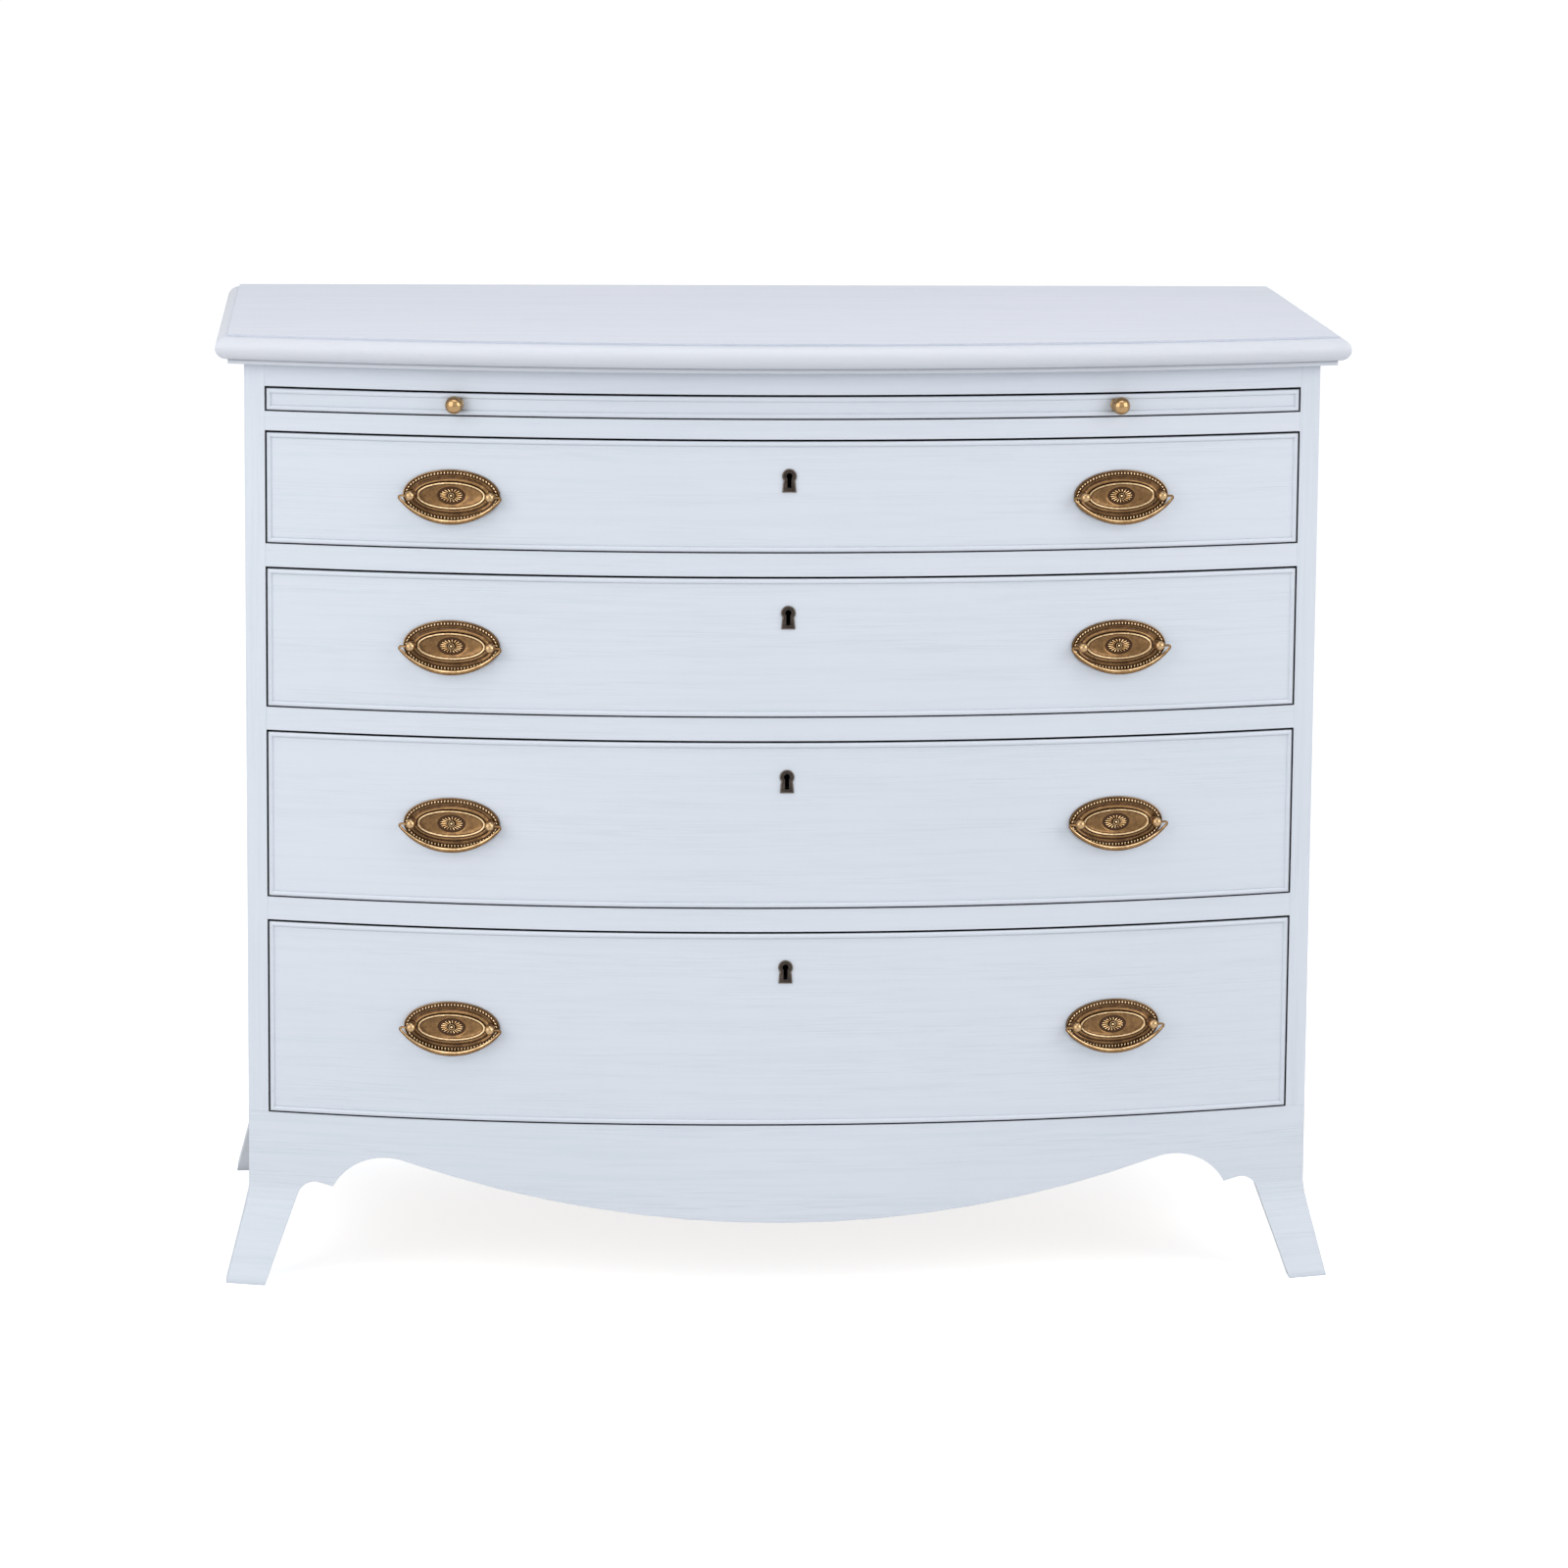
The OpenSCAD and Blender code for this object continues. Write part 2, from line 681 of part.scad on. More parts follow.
// Dovetails between two heights, from their neck to their wide end, as a (y, z) outline
module tail_row(y_neck, y_wide, z0, z1, count) {
    pitch = (z1 - z0) / count;
    for (i = [0:count - 1]) translate([0, z0 + pitch * i + pitch / 2]) polygon([
        [y_neck, -tail_neck * pitch], [y_neck, tail_neck * pitch],
        [y_wide, tail_wide * pitch], [y_wide, -tail_wide * pitch]]);
}

// Lapped dovetails at the front end of the right-hand side
module front_tails(n) {
    side_prism(box_half, drawer_half) tail_row(y_flat, y_flat - tail_len, front_z0(n), box_z1(n), tails(n));
}

// Tails of a side at the drawer's back corner
module back_tails(n) {
    tail_row(y_box_back - drawer_back_t, y_box_back, bottom_z(n) + drawer_bottom_t, box_z1(n), tails(n));
}

// Bottom board of a drawer, also used to cut its grooves
module bottom_solid(n) {
    intersection() {
        translate([-box_half, -bow, bottom_z(n)]) cube([2 * box_half, bow + y_box_back, drawer_bottom_t]);
        bow_disc(front_in_r + groove, bottom_z(n), drawer_bottom_t);
    }
    translate([-box_half - groove, y_flat, bottom_z(n)])
        cube([2 * (box_half + groove), y_box_back - y_flat, drawer_bottom_t]);
}

module keyhole_shape() {
    circle(key_r, $fn = small_fn);
    translate([-key_slot / 2, -key_len]) square([key_slot, key_len]);
}

// Places of the four posts of a drawer's two handles
module each_handle(n) {
    for (side = [-1, 1]) on_bow(side * handle_x, handle_z(n)) children();
}
module each_post() {
    for (side = [-1, 1]) translate([side * post_pitch / 2, 0, 0]) children();
}
module out_rod(r, y0, y1) {
    translate([0, y1, 0]) rotate([90, 0, 0]) cylinder(r = r, h = y1 - y0, $fn = small_fn);
}

module drawer_front(n) {
    z0 = front_z0(n);
    z1 = front_z1(n);
    color(paint) on_floor() difference() {
        bow_wall(bow_r, front_in_r, drawer_half, z0, z1 - z0);
        bead_rebate(drawer_half, z0, z1, bead_d);
        bottom_solid(n);
        for (side = [-1, 1]) on_side(side) {
            translate([box_half, y_flat, z0 - cut]) cube([drawer_side_t + cut, front_t, z1 - z0 + 2 * cut]);
            front_tails(n);
        }
        each_handle(n) each_post() out_rod(shank_r + shank_clear, -cut, 2 * front_t);
        translate([0, 0, key_z(n)]) front_prism(-bow - cut, front_t - bow + cut) keyhole_shape();
    }
}

module drawer_bead(n) {
    color(paint) on_floor() bead_ring(drawer_half, front_z0(n), front_z1(n));
}

module drawer_sides(n) {
    color(bare_oak) on_floor() for (side = [-1, 1]) on_side(side) difference() {
        union() {
            translate([box_half, y_flat, box_z0(n)])
                cube([drawer_side_t, y_box_back - drawer_back_t - y_flat, box_z1(n) - box_z0(n)]);
            front_tails(n);
            translate([box_half, y_box_back - drawer_back_t, box_z0(n)])
                cube([drawer_side_t, drawer_back_t, bottom_z(n) + drawer_bottom_t - box_z0(n)]);
            side_prism(box_half, drawer_half) back_tails(n);
        }
        bottom_solid(n);
    }
}

module drawer_back(n) {
    z0 = bottom_z(n) + drawer_bottom_t;
    color(bare_oak) on_floor() difference() {
        translate([-drawer_half, y_box_back - drawer_back_t, z0])
            cube([2 * drawer_half, drawer_back_t, box_z1(n) - z0]);
        for (side = [-1, 1]) on_side(side) side_prism(box_half, drawer_half + cut) back_tails(n);
    }
}

module drawer_bottom(n) {
    color(bare_oak) on_floor() bottom_solid(n);
}

// ---------------------------------------------------------------- handles

// Oval slab standing on the drawer face, out to height t
module oval(w, h, t) {
    front_prism(-t, 0) polygon([for (i = [0:oval_steps - 1]) let (a = 360 * i / oval_steps)
        [w / 2 * cos(a), h / 2 * sin(a)]]);
}

module handle_plate() {
    difference() {
        oval(plate_w, plate_h, border_t);
        translate([0, -plate_t, 0])
            oval(plate_w - 2 * border_w, plate_h - 2 * border_w, border_t);
    }
    difference() {
        union() {
            oval(inner_w, inner_h, border_t);
            oval(inner_w + 2 * step_w, inner_h + 2 * step_w, step_t);
        }
        translate([0, -plate_t - inner_dish, 0])
            oval(inner_w - 2 * inner_rim, inner_h - 2 * inner_rim, border_t);
    }
    oval(rosette_w, rosette_h, border_t - inner_dish);
}

// Turned post with a bored ball and a threaded shank held by a nut
module post() {
    difference() {
        union() {
            out_rod(collar_r, -plate_t - collar_t, 0);
            out_rod(neck_r, -pivot_out, 0);
            translate([0, -pivot_out, 0]) rotate([0, 0, -90]) sphere(post_r, $fn = small_fn);
            out_rod(shank_r, 0, nut_y + nut_t + shank_past_nut);
            translate([0, nut_y + nut_t, 0]) rotate([90, 0, 0]) cylinder(r = nut_r, h = nut_t, $fn = 6);
        }
        translate([0, -pivot_out, 0]) rotate([0, 90, 0])
            cylinder(r = pin_r + pin_clear, h = post_r + cut, $fn = small_fn);
    }
}

// Keyhole escutcheon with a round head and a waisted foot
module escutcheon_shape() {
    foot_z = esc_w / 2 - esc_h;
    right = [[esc_w * esc_shoulder, 0],
        [esc_w * esc_waist, foot_z * esc_waist_place],
        [esc_w * esc_foot, foot_z]];
    circle(esc_w / 2, $fn = small_fn);
    polygon(concat(right, [for (p = reversed(right)) [-p[0], p[1]]]));
}

// Both handle plates with their posts, the nuts inside and the escutcheon
module drawer_brasses(n) {
    color(antique_brass) on_floor() {
        each_handle(n) handle_plate();
        each_handle(n) for (end = [-1, 1]) on_side(end) translate([post_pitch / 2, 0, 0]) post();
        translate([0, 0, key_z(n)]) front_prism(-bow - esc_t, -bow) difference() {
            escutcheon_shape();
            keyhole_shape();
        }
    }
}

// Radius of the bail at an angle from its lowest point
function bail_thick(a) = bail_tip_r + (bail_r - bail_tip_r) * cos(90 * a / bail_a);
// Points of the bail's curve from tip to tip, as (x, z, radius, angle)
function bail_path() = [for (i = [0:bail_steps]) let (a = bail_a * (2 * i / bail_steps - 1))
    [bail_arc_r * sin(a), bail_cz - bail_arc_r * cos(a), bail_thick(a), a]];

// Tapered round bar bent along the bail's curve
module bail_bow() {
    rings = bail_path();
    points = [for (p = rings, k = [0:bail_sides - 1]) let (b = 360 * k / bail_sides)
        [p[0] + p[2] * cos(b) * sin(p[3]), p[2] * sin(b), p[1] - p[2] * cos(b) * cos(p[3])]];
    walls = [for (i = [0:bail_steps - 1], k = [0:bail_sides - 1]) let (j = (k + 1) % bail_sides)
        [i * bail_sides + k, (i + 1) * bail_sides + k, (i + 1) * bail_sides + j, i * bail_sides + j]];
    caps = [[for (k = [0:bail_sides - 1]) k], [for (k = [bail_sides - 1:-1:0]) bail_steps * bail_sides + k]];
    polyhedron(points, concat(walls, caps));
}

module bail(n, side) {
    arm_x = post_pitch / 2 + post_r + run_gap;
    color(antique_brass) on_floor() on_bow(side * handle_x, handle_z(n)) translate([0, -pivot_out, 0]) {
        bail_bow();
        for (end = [-1, 1]) on_side(end) {
            translate([bail_half, 0, 0]) sphere(bail_ball_r, $fn = small_fn);
            translate([arm_x, 0, 0]) rotate([0, 90, 0])
                cylinder(r = bail_tip_r, h = bail_half - arm_x, $fn = small_fn);
            translate([post_pitch / 2 + run_gap, 0, 0]) rotate([0, 90, 0])
                cylinder(r = pin_r, h = post_r + cut, $fn = small_fn);
        }
    }
}

// ---------------------------------------------------------------- locks

module drawer_lock(n) {
    y = bow_y(front_in_r, 0);
    z1 = front_z1(n);
    color(steel) on_floor() difference() {
        intersection() {
            translate([-lock_w / 2, y - cut, z1 - lock_h]) cube([lock_w, lock_d + cut, lock_h]);
            bow_disc(front_in_r, z1 - lock_h, lock_h);
        }
        translate([-bolt_w / 2 - bolt_clear, bolt_y() - bolt_clear, z1 - bolt_down - bolt_h - bolt_clear])
            cube([bolt_w + 2 * bolt_clear, bolt_t + 2 * bolt_clear, bolt_h + lock_h]);
        translate([0, 0, key_z(n)]) front_prism(y - cut, y + lock_d - lock_plate) keyhole_shape();
    }
}

// Bolt that rises out of the drawer's upper edge into the rail above
module drawer_bolt(n) {
    color(antique_brass) on_floor() translate([-bolt_w / 2, bolt_y(), front_z1(n) - bolt_down - bolt_h])
        cube([bolt_w, bolt_t, bolt_h]);
}

// ---------------------------------------------------------------- brushing slide

module slide_board() {
    color(paint) on_floor() intersection() {
        translate([-drawer_half, -bow, z_slide + run_gap])
            cube([2 * drawer_half, bow + y_inner - slide_short, slide_t]);
        bow_disc(bow_r - slide_front_t, z_slide + run_gap, slide_t);
    }
}

module each_knob() {
    for (side = [-1, 1]) on_bow(side * knob_x, (front_z0(0) + front_z1(0)) / 2) children();
}

// Lipping of the slide with a bead worked round its edge
module slide_front() {
    z0 = front_z0(0);
    z1 = front_z1(0);
    color(paint) on_floor() difference() {
        union() {
            difference() {
                bow_wall(bow_r, bow_r - slide_front_t, drawer_half, z0, z1 - z0);
                bead_rebate(drawer_half, z0, z1, bead_d / 2);
            }
            bead_ring(drawer_half, z0, z1);
        }
        each_knob() out_rod(shank_r + shank_clear, -cut, knob_shank + cut);
    }
}

module slide_knobs() {
    color(antique_brass) on_floor() each_knob() {
        translate([0, -knob_out, 0]) sphere(knob_r, $fn = small_fn);
        out_rod(knob_collar_r, -knob_collar_t, 0);
        out_rod(neck_r, -knob_out, 0);
        out_rod(shank_r, 0, knob_shank);
    }
}

top_board();
side_left();
side_right();
back_panel();
bottom_board();
frieze_rail();
slide_rail();
rail_1();
rail_2();
rail_3();
runners();
drawer_stops();
base_front();
base_left();
base_right();
base_back();
glue_blocks();
slide_board();
slide_front();
slide_knobs();
drawer_front(1);  // drawer_1_front
drawer_bead(1);  // drawer_1_bead
drawer_sides(1);  // drawer_1_sides
drawer_back(1);  // drawer_1_back
drawer_bottom(1);  // drawer_1_bottom
drawer_brasses(1);  // drawer_1_brasses
drawer_lock(1);  // drawer_1_lock
drawer_bolt(1);  // drawer_1_bolt
bail(1, -1);  // drawer_1_bail_left
bail(1, 1);  // drawer_1_bail_right
drawer_front(2);  // drawer_2_front
drawer_bead(2);  // drawer_2_bead
drawer_sides(2);  // drawer_2_sides
drawer_back(2);  // drawer_2_back
drawer_bottom(2);  // drawer_2_bottom
drawer_brasses(2);  // drawer_2_brasses
drawer_lock(2);  // drawer_2_lock
drawer_bolt(2);  // drawer_2_bolt
bail(2, -1);  // drawer_2_bail_left
bail(2, 1);  // drawer_2_bail_right
drawer_front(3);  // drawer_3_front
drawer_bead(3);  // drawer_3_bead
drawer_sides(3);  // drawer_3_sides
drawer_back(3);  // drawer_3_back
drawer_bottom(3);  // drawer_3_bottom
drawer_brasses(3);  // drawer_3_brasses
drawer_lock(3);  // drawer_3_lock
drawer_bolt(3);  // drawer_3_bolt
bail(3, -1);  // drawer_3_bail_left
bail(3, 1);  // drawer_3_bail_right
drawer_front(4);  // drawer_4_front
drawer_bead(4);  // drawer_4_bead
drawer_sides(4);  // drawer_4_sides
drawer_back(4);  // drawer_4_back
drawer_bottom(4);  // drawer_4_bottom
drawer_brasses(4);  // drawer_4_brasses
drawer_lock(4);  // drawer_4_lock
drawer_bolt(4);  // drawer_4_bolt
bail(4, -1);  // drawer_4_bail_left
bail(4, 1);  // drawer_4_bail_right
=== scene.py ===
"""Looks of the bow front chest of drawers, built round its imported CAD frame.

The scene is in metres, +Z up, and the drawers open towards -Y. Sizes of shapes are in millimetres, as in the
CAD model, and MM turns them into metres.
"""
import json
import math

import bpy
from mathutils import Matrix, Vector


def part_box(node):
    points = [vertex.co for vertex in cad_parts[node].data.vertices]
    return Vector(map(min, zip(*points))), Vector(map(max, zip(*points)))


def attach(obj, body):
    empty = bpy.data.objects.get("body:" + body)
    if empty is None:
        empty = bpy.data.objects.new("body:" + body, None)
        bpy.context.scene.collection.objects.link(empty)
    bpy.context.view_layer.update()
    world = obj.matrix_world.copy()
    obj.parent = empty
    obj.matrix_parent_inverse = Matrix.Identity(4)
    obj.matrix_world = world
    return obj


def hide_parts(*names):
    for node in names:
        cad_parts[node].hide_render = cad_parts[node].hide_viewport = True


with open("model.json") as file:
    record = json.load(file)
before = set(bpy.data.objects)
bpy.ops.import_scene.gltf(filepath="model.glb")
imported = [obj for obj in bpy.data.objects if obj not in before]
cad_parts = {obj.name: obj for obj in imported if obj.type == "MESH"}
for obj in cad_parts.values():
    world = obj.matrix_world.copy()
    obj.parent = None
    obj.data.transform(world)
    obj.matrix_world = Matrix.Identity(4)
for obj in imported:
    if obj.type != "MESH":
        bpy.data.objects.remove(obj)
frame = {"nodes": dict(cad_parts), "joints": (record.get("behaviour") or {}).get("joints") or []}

MM = 0.001
X, Y, Z = range(3)
NODES = frame["nodes"]
JOINTS = {j["name"]: j for j in frame["joints"]}
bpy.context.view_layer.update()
DRAWERS = (1, 2, 3, 4)
SIDES = ("left", "right")

# The bow of the front: one circle through both front corners and the middle of the face
HALF_W = 475.0
BOW = 75.0
BOW_R = (HALF_W ** 2 + BOW ** 2) / (2 * BOW)
FACE_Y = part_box("drawer_1_front")[0][Y] / MM
BOW_CENTRE_Y = FACE_Y + BOW_R


# ---------------------------------------------------------------- camera

def make_camera():
    """The photograph's view: a long lens a little left of the middle, looking slightly down."""
    place = Vector((-0.3475, -5.8335, 1.4119))
    yaw = math.radians(3.540)
    down = math.radians(9.653)
    roll = math.radians(0.453)
    focal_pixels = 6579.4
    picture_pixels = 1600
    sensor_mm = 36.0
    far_limit = 200
    ahead = Vector((math.sin(yaw) * math.cos(down), math.cos(yaw) * math.cos(down), -math.sin(down)))
    right = Vector((math.cos(yaw), -math.sin(yaw), 0))
    up = right.cross(ahead)
    right_r = right * math.cos(roll) + up * math.sin(roll)
    up_r = up * math.cos(roll) - right * math.sin(roll)
    data = bpy.data.cameras.new("camera")
    data.lens = focal_pixels / picture_pixels * sensor_mm
    data.sensor_width = sensor_mm
    data.clip_end = far_limit
    camera = bpy.data.objects.new("camera", data)
    turn = Matrix((right_r, up_r, -ahead)).transposed()
    camera.matrix_world = Matrix.Translation(place) @ turn.to_4x4()
    bpy.context.scene.collection.objects.link(camera)
    bpy.context.scene.camera = camera


# ---------------------------------------------------------------- node helpers

# Rays that feel for gaps, and rays that round an edge over
GAP_SAMPLES = 6
EDGE_SAMPLES = 4


class Graph:
    """A material's or world's node tree, with short calls to add and link nodes."""

    def __init__(self, tree):
        self.tree = tree
        tree.nodes.clear()

    def add(self, kind, inputs=None, **settings):
        """Adds a node. inputs maps a socket's name or number to a value or to another node's output."""
        node = self.tree.nodes.new(kind)
        for name, value in settings.items():
            setattr(node, name, value)
        for key, value in (inputs or {}).items():
            if isinstance(value, bpy.types.NodeSocket):
                self.tree.links.new(value, node.inputs[key])
            else:
                node.inputs[key].default_value = value
        return node

    def math(self, operation, a, b=0.0, clamp=False):
        return self.add("ShaderNodeMath", {0: a, 1: b}, operation=operation, use_clamp=clamp).outputs[0]

    def mix(self, share, a, b):
        """Colour a at a share of 0, and colour b at a share of 1."""
        return self.add("ShaderNodeMix", {0: share, 6: a, 7: b}, data_type="RGBA").outputs[2]

    def ramp(self, value, low, high):
        """0 below low, 1 above high, and an S curve between them."""
        node = self.add("ShaderNodeMapRange", {0: value, 1: low, 2: high}, interpolation_type="SMOOTHSTEP")
        return node.outputs[0]

    def spread(self, value, low, high, first, last):
        """first below low, last above high, and a straight line between them."""
        return self.add("ShaderNodeMapRange", {0: value, 1: low, 2: high, 3: first, 4: last}).outputs[0]

    def noise(self, place, scale, detail=2.0):
        """Noise stretched by a scale for each axis."""
        mapped = self.add("ShaderNodeMapping", {"Vector": place, "Scale": scale}).outputs[0]
        return self.add("ShaderNodeTexNoise", {"Vector": mapped, "Scale": 1.0, "Detail": detail}).outputs[0]

    def crevice(self, reach):
        """1 in the open and 0 deep in a gap, from what lies within reach."""
        return self.add("ShaderNodeAmbientOcclusion", {"Distance": reach}, samples=GAP_SAMPLES).outputs["AO"]

    def eased(self, radius):
        """Normals that round every edge over to a radius, and how far they turn from the flat."""
        rounded = self.add("ShaderNodeBevel", {"Radius": radius}, samples=EDGE_SAMPLES).outputs[0]
        flat = self.add("ShaderNodeNewGeometry").outputs["Normal"]
        level = self.add("ShaderNodeVectorMath", {0: rounded, 1: flat}, operation="DOT_PRODUCT")
        return rounded, self.math("SUBTRACT", 1.0, level.outputs["Value"])

    def bump(self, height, depth, normal=None):
        """Normals of a relief of a depth, laid over the surface's own or over others."""
        inputs = {"Height": height, "Distance": depth, "Strength": 1.0}
        if normal is not None:
            inputs["Normal"] = normal
        return self.add("ShaderNodeBump", inputs).outputs[0]

    def roughness(self, value, least, added):
        """A roughness that a noise raises from least by up to added."""
        return self.math("ADD", self.math("MULTIPLY", value, added), least)

    def surface(self, **inputs):
        """A Principled surface with these sockets, as the material's output."""
        named = {name.replace("_", " "): value for name, value in inputs.items()}
        shader = self.add("ShaderNodeBsdfPrincipled", named)
        self.add("ShaderNodeOutputMaterial", {"Surface": shader.outputs[0]})


def new_material(name):
    """An empty node material, and the graph to build it with."""
    material = bpy.data.materials.new(name)
    material.use_nodes = True
    return material, Graph(material.node_tree)


def srgb(red, green, blue):
    """A linear colour from 0-255 display values, by the sRGB curve."""
    def linear(c):
        c /= 255
        return c / 12.92 if c <= 0.04045 else ((c + 0.055) / 1.055) ** 2.4
    return (linear(red), linear(green), linear(blue), 1.0)


def along(axis, length, width):
    """Noise scales for streaks of a length along one axis and a width across it, in metres."""
    return tuple(1 / length if i == axis else 1 / width for i in range(3))


def evenly(count):
    """Noise scales for spots of one size along every axis, so many to a metre."""
    return (count, count, count)


# ---------------------------------------------------------------- materials

# Painted oak: two tints that drift into each other, then the tones laid over them
BLUE_PAINT = (srgb(217, 224, 234), srgb(220, 226, 236))
GREY_PAINT = (srgb(217, 222, 235), srgb(220, 224, 237))
PAINT_STREAK = srgb(202, 213, 224)
PAINT_LINE = srgb(186, 198, 210)
# Painted highlight: a paler paint laid along every edge
PAINT_EDGE_HIGHLIGHT = srgb(236, 244, 251)
# Painted shade: grey-blue near gaps and overhangs, and near black deep in gaps
PAINT_SHADE = srgb(120, 132, 145)
PAINT_GAP_SHADE = srgb(9, 13, 20)
# Painted shade: a greyer paint over the top's moulded edge, and a dark one in the corners under it
PAINT_NOSE_SHADE = srgb(214, 217, 224)
PAINT_CORNER_SHADE = srgb(60, 70, 84)

# Its marks as (length along the grain, width across it) in metres, and its drifts to a metre
PAINT_BANDS = (0.45, 0.018)
PAINT_GRAIN = (0.060, 0.0010)
PAINT_STREAKS = (0.12, 0.0040)
PAINT_DRIFTS = 3.0

# How strongly the marks show on flat boards and the apron, and on the rest of the bow, then how strongly the
# edges carry a painted highlight and the gaps a painted shade
FIGURE = 0.30
BOW_FIGURE = 0.18
PAINT_EDGE_HIGHLIGHT_SHARE = 0.5
PAINT_SHADE_SHARE = 0.30

# The rounding of its edges, the reach of the painted shade, the depth of the grain's lines and the share of
# it that streaks stand up, then its least roughness and what the bands add to it
PAINT_EDGE_R = 0.7
PAINT_GAP_REACH = 9
PAINT_DEPTH = 0.05
PAINT_STREAK_RELIEF = 0.25
PAINT_ROUGHNESS = (0.40, 0.1)

# The moulded edge of the top: how strongly painted shade darkens it, between which depths below the top this
# ends, how far painted shade reaches from a corner, and the height over which that shade ends at the edge's
# middle
NOSE_SHADE_SHARE = 0.7
NOSE_SHADE_ENDS = (4, 1)
NOSE_CORNER_SHADE_REACH = 3
NOSE_CORNER_SHADE_ENDS = 2

# Bare oak, in the same units
OAK_TINTS = (srgb(198, 164, 118), srgb(214, 184, 140))
OAK_STREAK = srgb(182, 146, 100)
OAK_PORE = srgb(128, 94, 58)
OAK_BANDS = (0.8, 0.016)
OAK_PORES = (0.018, 0.0009)
OAK_STREAKS = (0.3, 0.003)
OAK_STREAK_SHARE = 0.45
OAK_PORE_SHARE = 0.6
OAK_DEPTH = 0.08
OAK_ROUGHNESS = (0.45, 0.15)

# Brass: patches, specks and pits of its patina to a metre, and the depth of the pits
BRASS_PATCHES = 60
BRASS_SPECKS = 420
BRASS_PITS = 2500
BRASS_DEPTH = 0.02
BRASS_GAP_REACH = 3
# How much cleaner than its surroundings a rubbed spot stays in a gap
BRASS_RUBBED_CLEAN = 0.25
BRASS_SPECULAR_TINT = (0.75, 0.65, 0.55, 1)
LACQUER_IOR = 1.7
LACQUER_ROUGHNESS = 0.08

# Steel of the locks
STEEL_TINTS = (srgb(150, 150, 152), srgb(178, 178, 180))
# Painted shade: near black where the steel lies deep among other parts
STEEL_GAP_SHADE = srgb(8, 8, 8)
STEEL_BRUSHING = (0.02, 0.0004)
STEEL_GAP_REACH = 15
STEEL_ROUGHNESS = (0.30, 0.15)


def round_the_bow(g, place):
    """Distance along the bow, distance from its axis, and height, so that grain follows a curved board."""
    x, y, z = g.add("ShaderNodeSeparateXYZ", {0: place}).outputs
    back = g.math("SUBTRACT", BOW_CENTRE_Y * MM, y)
    radius = g.math("SQRT", g.math("ADD", g.math("MULTIPLY", x, x), g.math("MULTIPLY", back, back)))
    run = g.math("MULTIPLY", g.math("ARCTAN2", x, back), BOW_R * MM)
    return g.add("ShaderNodeCombineXYZ", {0: run, 1: radius, 2: z}).outputs[0]


def shade_nose_curve(g, height, nose, paint):
    """Darkens the paint of a moulded edge with painted shade, all but its upper rim."""
    low, high = [nose[1] - depth * MM for depth in NOSE_SHADE_ENDS]
    spared = g.math("MULTIPLY", g.ramp(height, low, high), NOSE_SHADE_SHARE)
    return g.mix(g.math("SUBTRACT", NOSE_SHADE_SHARE, spared), paint, PAINT_NOSE_SHADE)


def shade_nose_corners(g, height, nose, colour):
    """Lays painted shade in the corners below the middle of a moulded edge."""
    middle = (nose[0] + nose[1]) / 2
    corner = g.spread(g.crevice(NOSE_CORNER_SHADE_REACH * MM), 0.45, 0.78, 1.0, 0.0)
    under = g.math("SUBTRACT", 1.0, g.ramp(height, middle - NOSE_CORNER_SHADE_ENDS * MM, middle))
    return g.mix(g.math("MULTIPLY", corner, under), colour, PAINT_CORNER_SHADE)


def painted_oak(name, axis, bowed=False, tints=BLUE_PAINT, figure=FIGURE, nose=None):
    """Paint over fine-grained oak whose grain runs along an axis, or round the bow where it is bowed.

    figure is the strength of its streaks and lines, and nose the lowest and highest point of a moulded edge.
    """
    material, g = new_material(name)
    place = g.add("ShaderNodeTexCoord").outputs["Object"]
    if bowed:
        place = round_the_bow(g, place)
    bands = g.noise(place, along(axis, *PAINT_BANDS), detail=3.0)
    grain = g.noise(place, along(axis, *PAINT_GRAIN), detail=1.0)
    lines = g.math("MULTIPLY", g.ramp(grain, 0.50, 0.70), g.ramp(bands, 0.40, 0.62))
    streaks = g.noise(place, along(axis, *PAINT_STREAKS))
    drift = g.noise(place, evenly(PAINT_DRIFTS))
    paint = g.mix(g.ramp(drift, 0.35, 0.65), *tints)
    paint = g.mix(g.math("MULTIPLY", g.ramp(streaks, 0.42, 0.70), figure), paint, PAINT_STREAK)
    paint = g.mix(g.math("MULTIPLY", lines, figure), paint, PAINT_LINE)
    if nose:
        height = g.add("ShaderNodeSeparateXYZ", {0: place}).outputs[Z]
        # Painted shade over the moulded edge
        paint = shade_nose_curve(g, height, nose, paint)
    rounded, turn = g.eased(PAINT_EDGE_R * MM)
    # Painted highlight: paler paint along every edge, where the rounded normals turn from the flat
    paint = g.mix(g.math("MULTIPLY", g.ramp(turn, 0.02, 0.25), PAINT_EDGE_HIGHLIGHT_SHARE), paint, PAINT_EDGE_HIGHLIGHT)
    # Painted shade from what lies within reach: grey-blue near gaps and overhangs, near black deep in gaps
    crevice = g.crevice(PAINT_GAP_REACH * MM)
    colour = g.mix(g.spread(crevice, 0.45, 0.95, PAINT_SHADE_SHARE, 0.0), paint, PAINT_SHADE)
    colour = g.mix(g.ramp(crevice, 0.10, 0.50), PAINT_GAP_SHADE, colour)
    if nose:
        # Painted shade in the corners under the moulded edge
        colour = shade_nose_corners(g, height, nose, colour)
    relief = g.math("SUBTRACT", g.math("MULTIPLY", streaks, PAINT_STREAK_RELIEF), lines)
    g.surface(Base_Color=colour, Roughness=g.roughness(bands, *PAINT_ROUGHNESS),
              Normal=g.bump(relief, PAINT_DEPTH * MM, rounded))
    return material


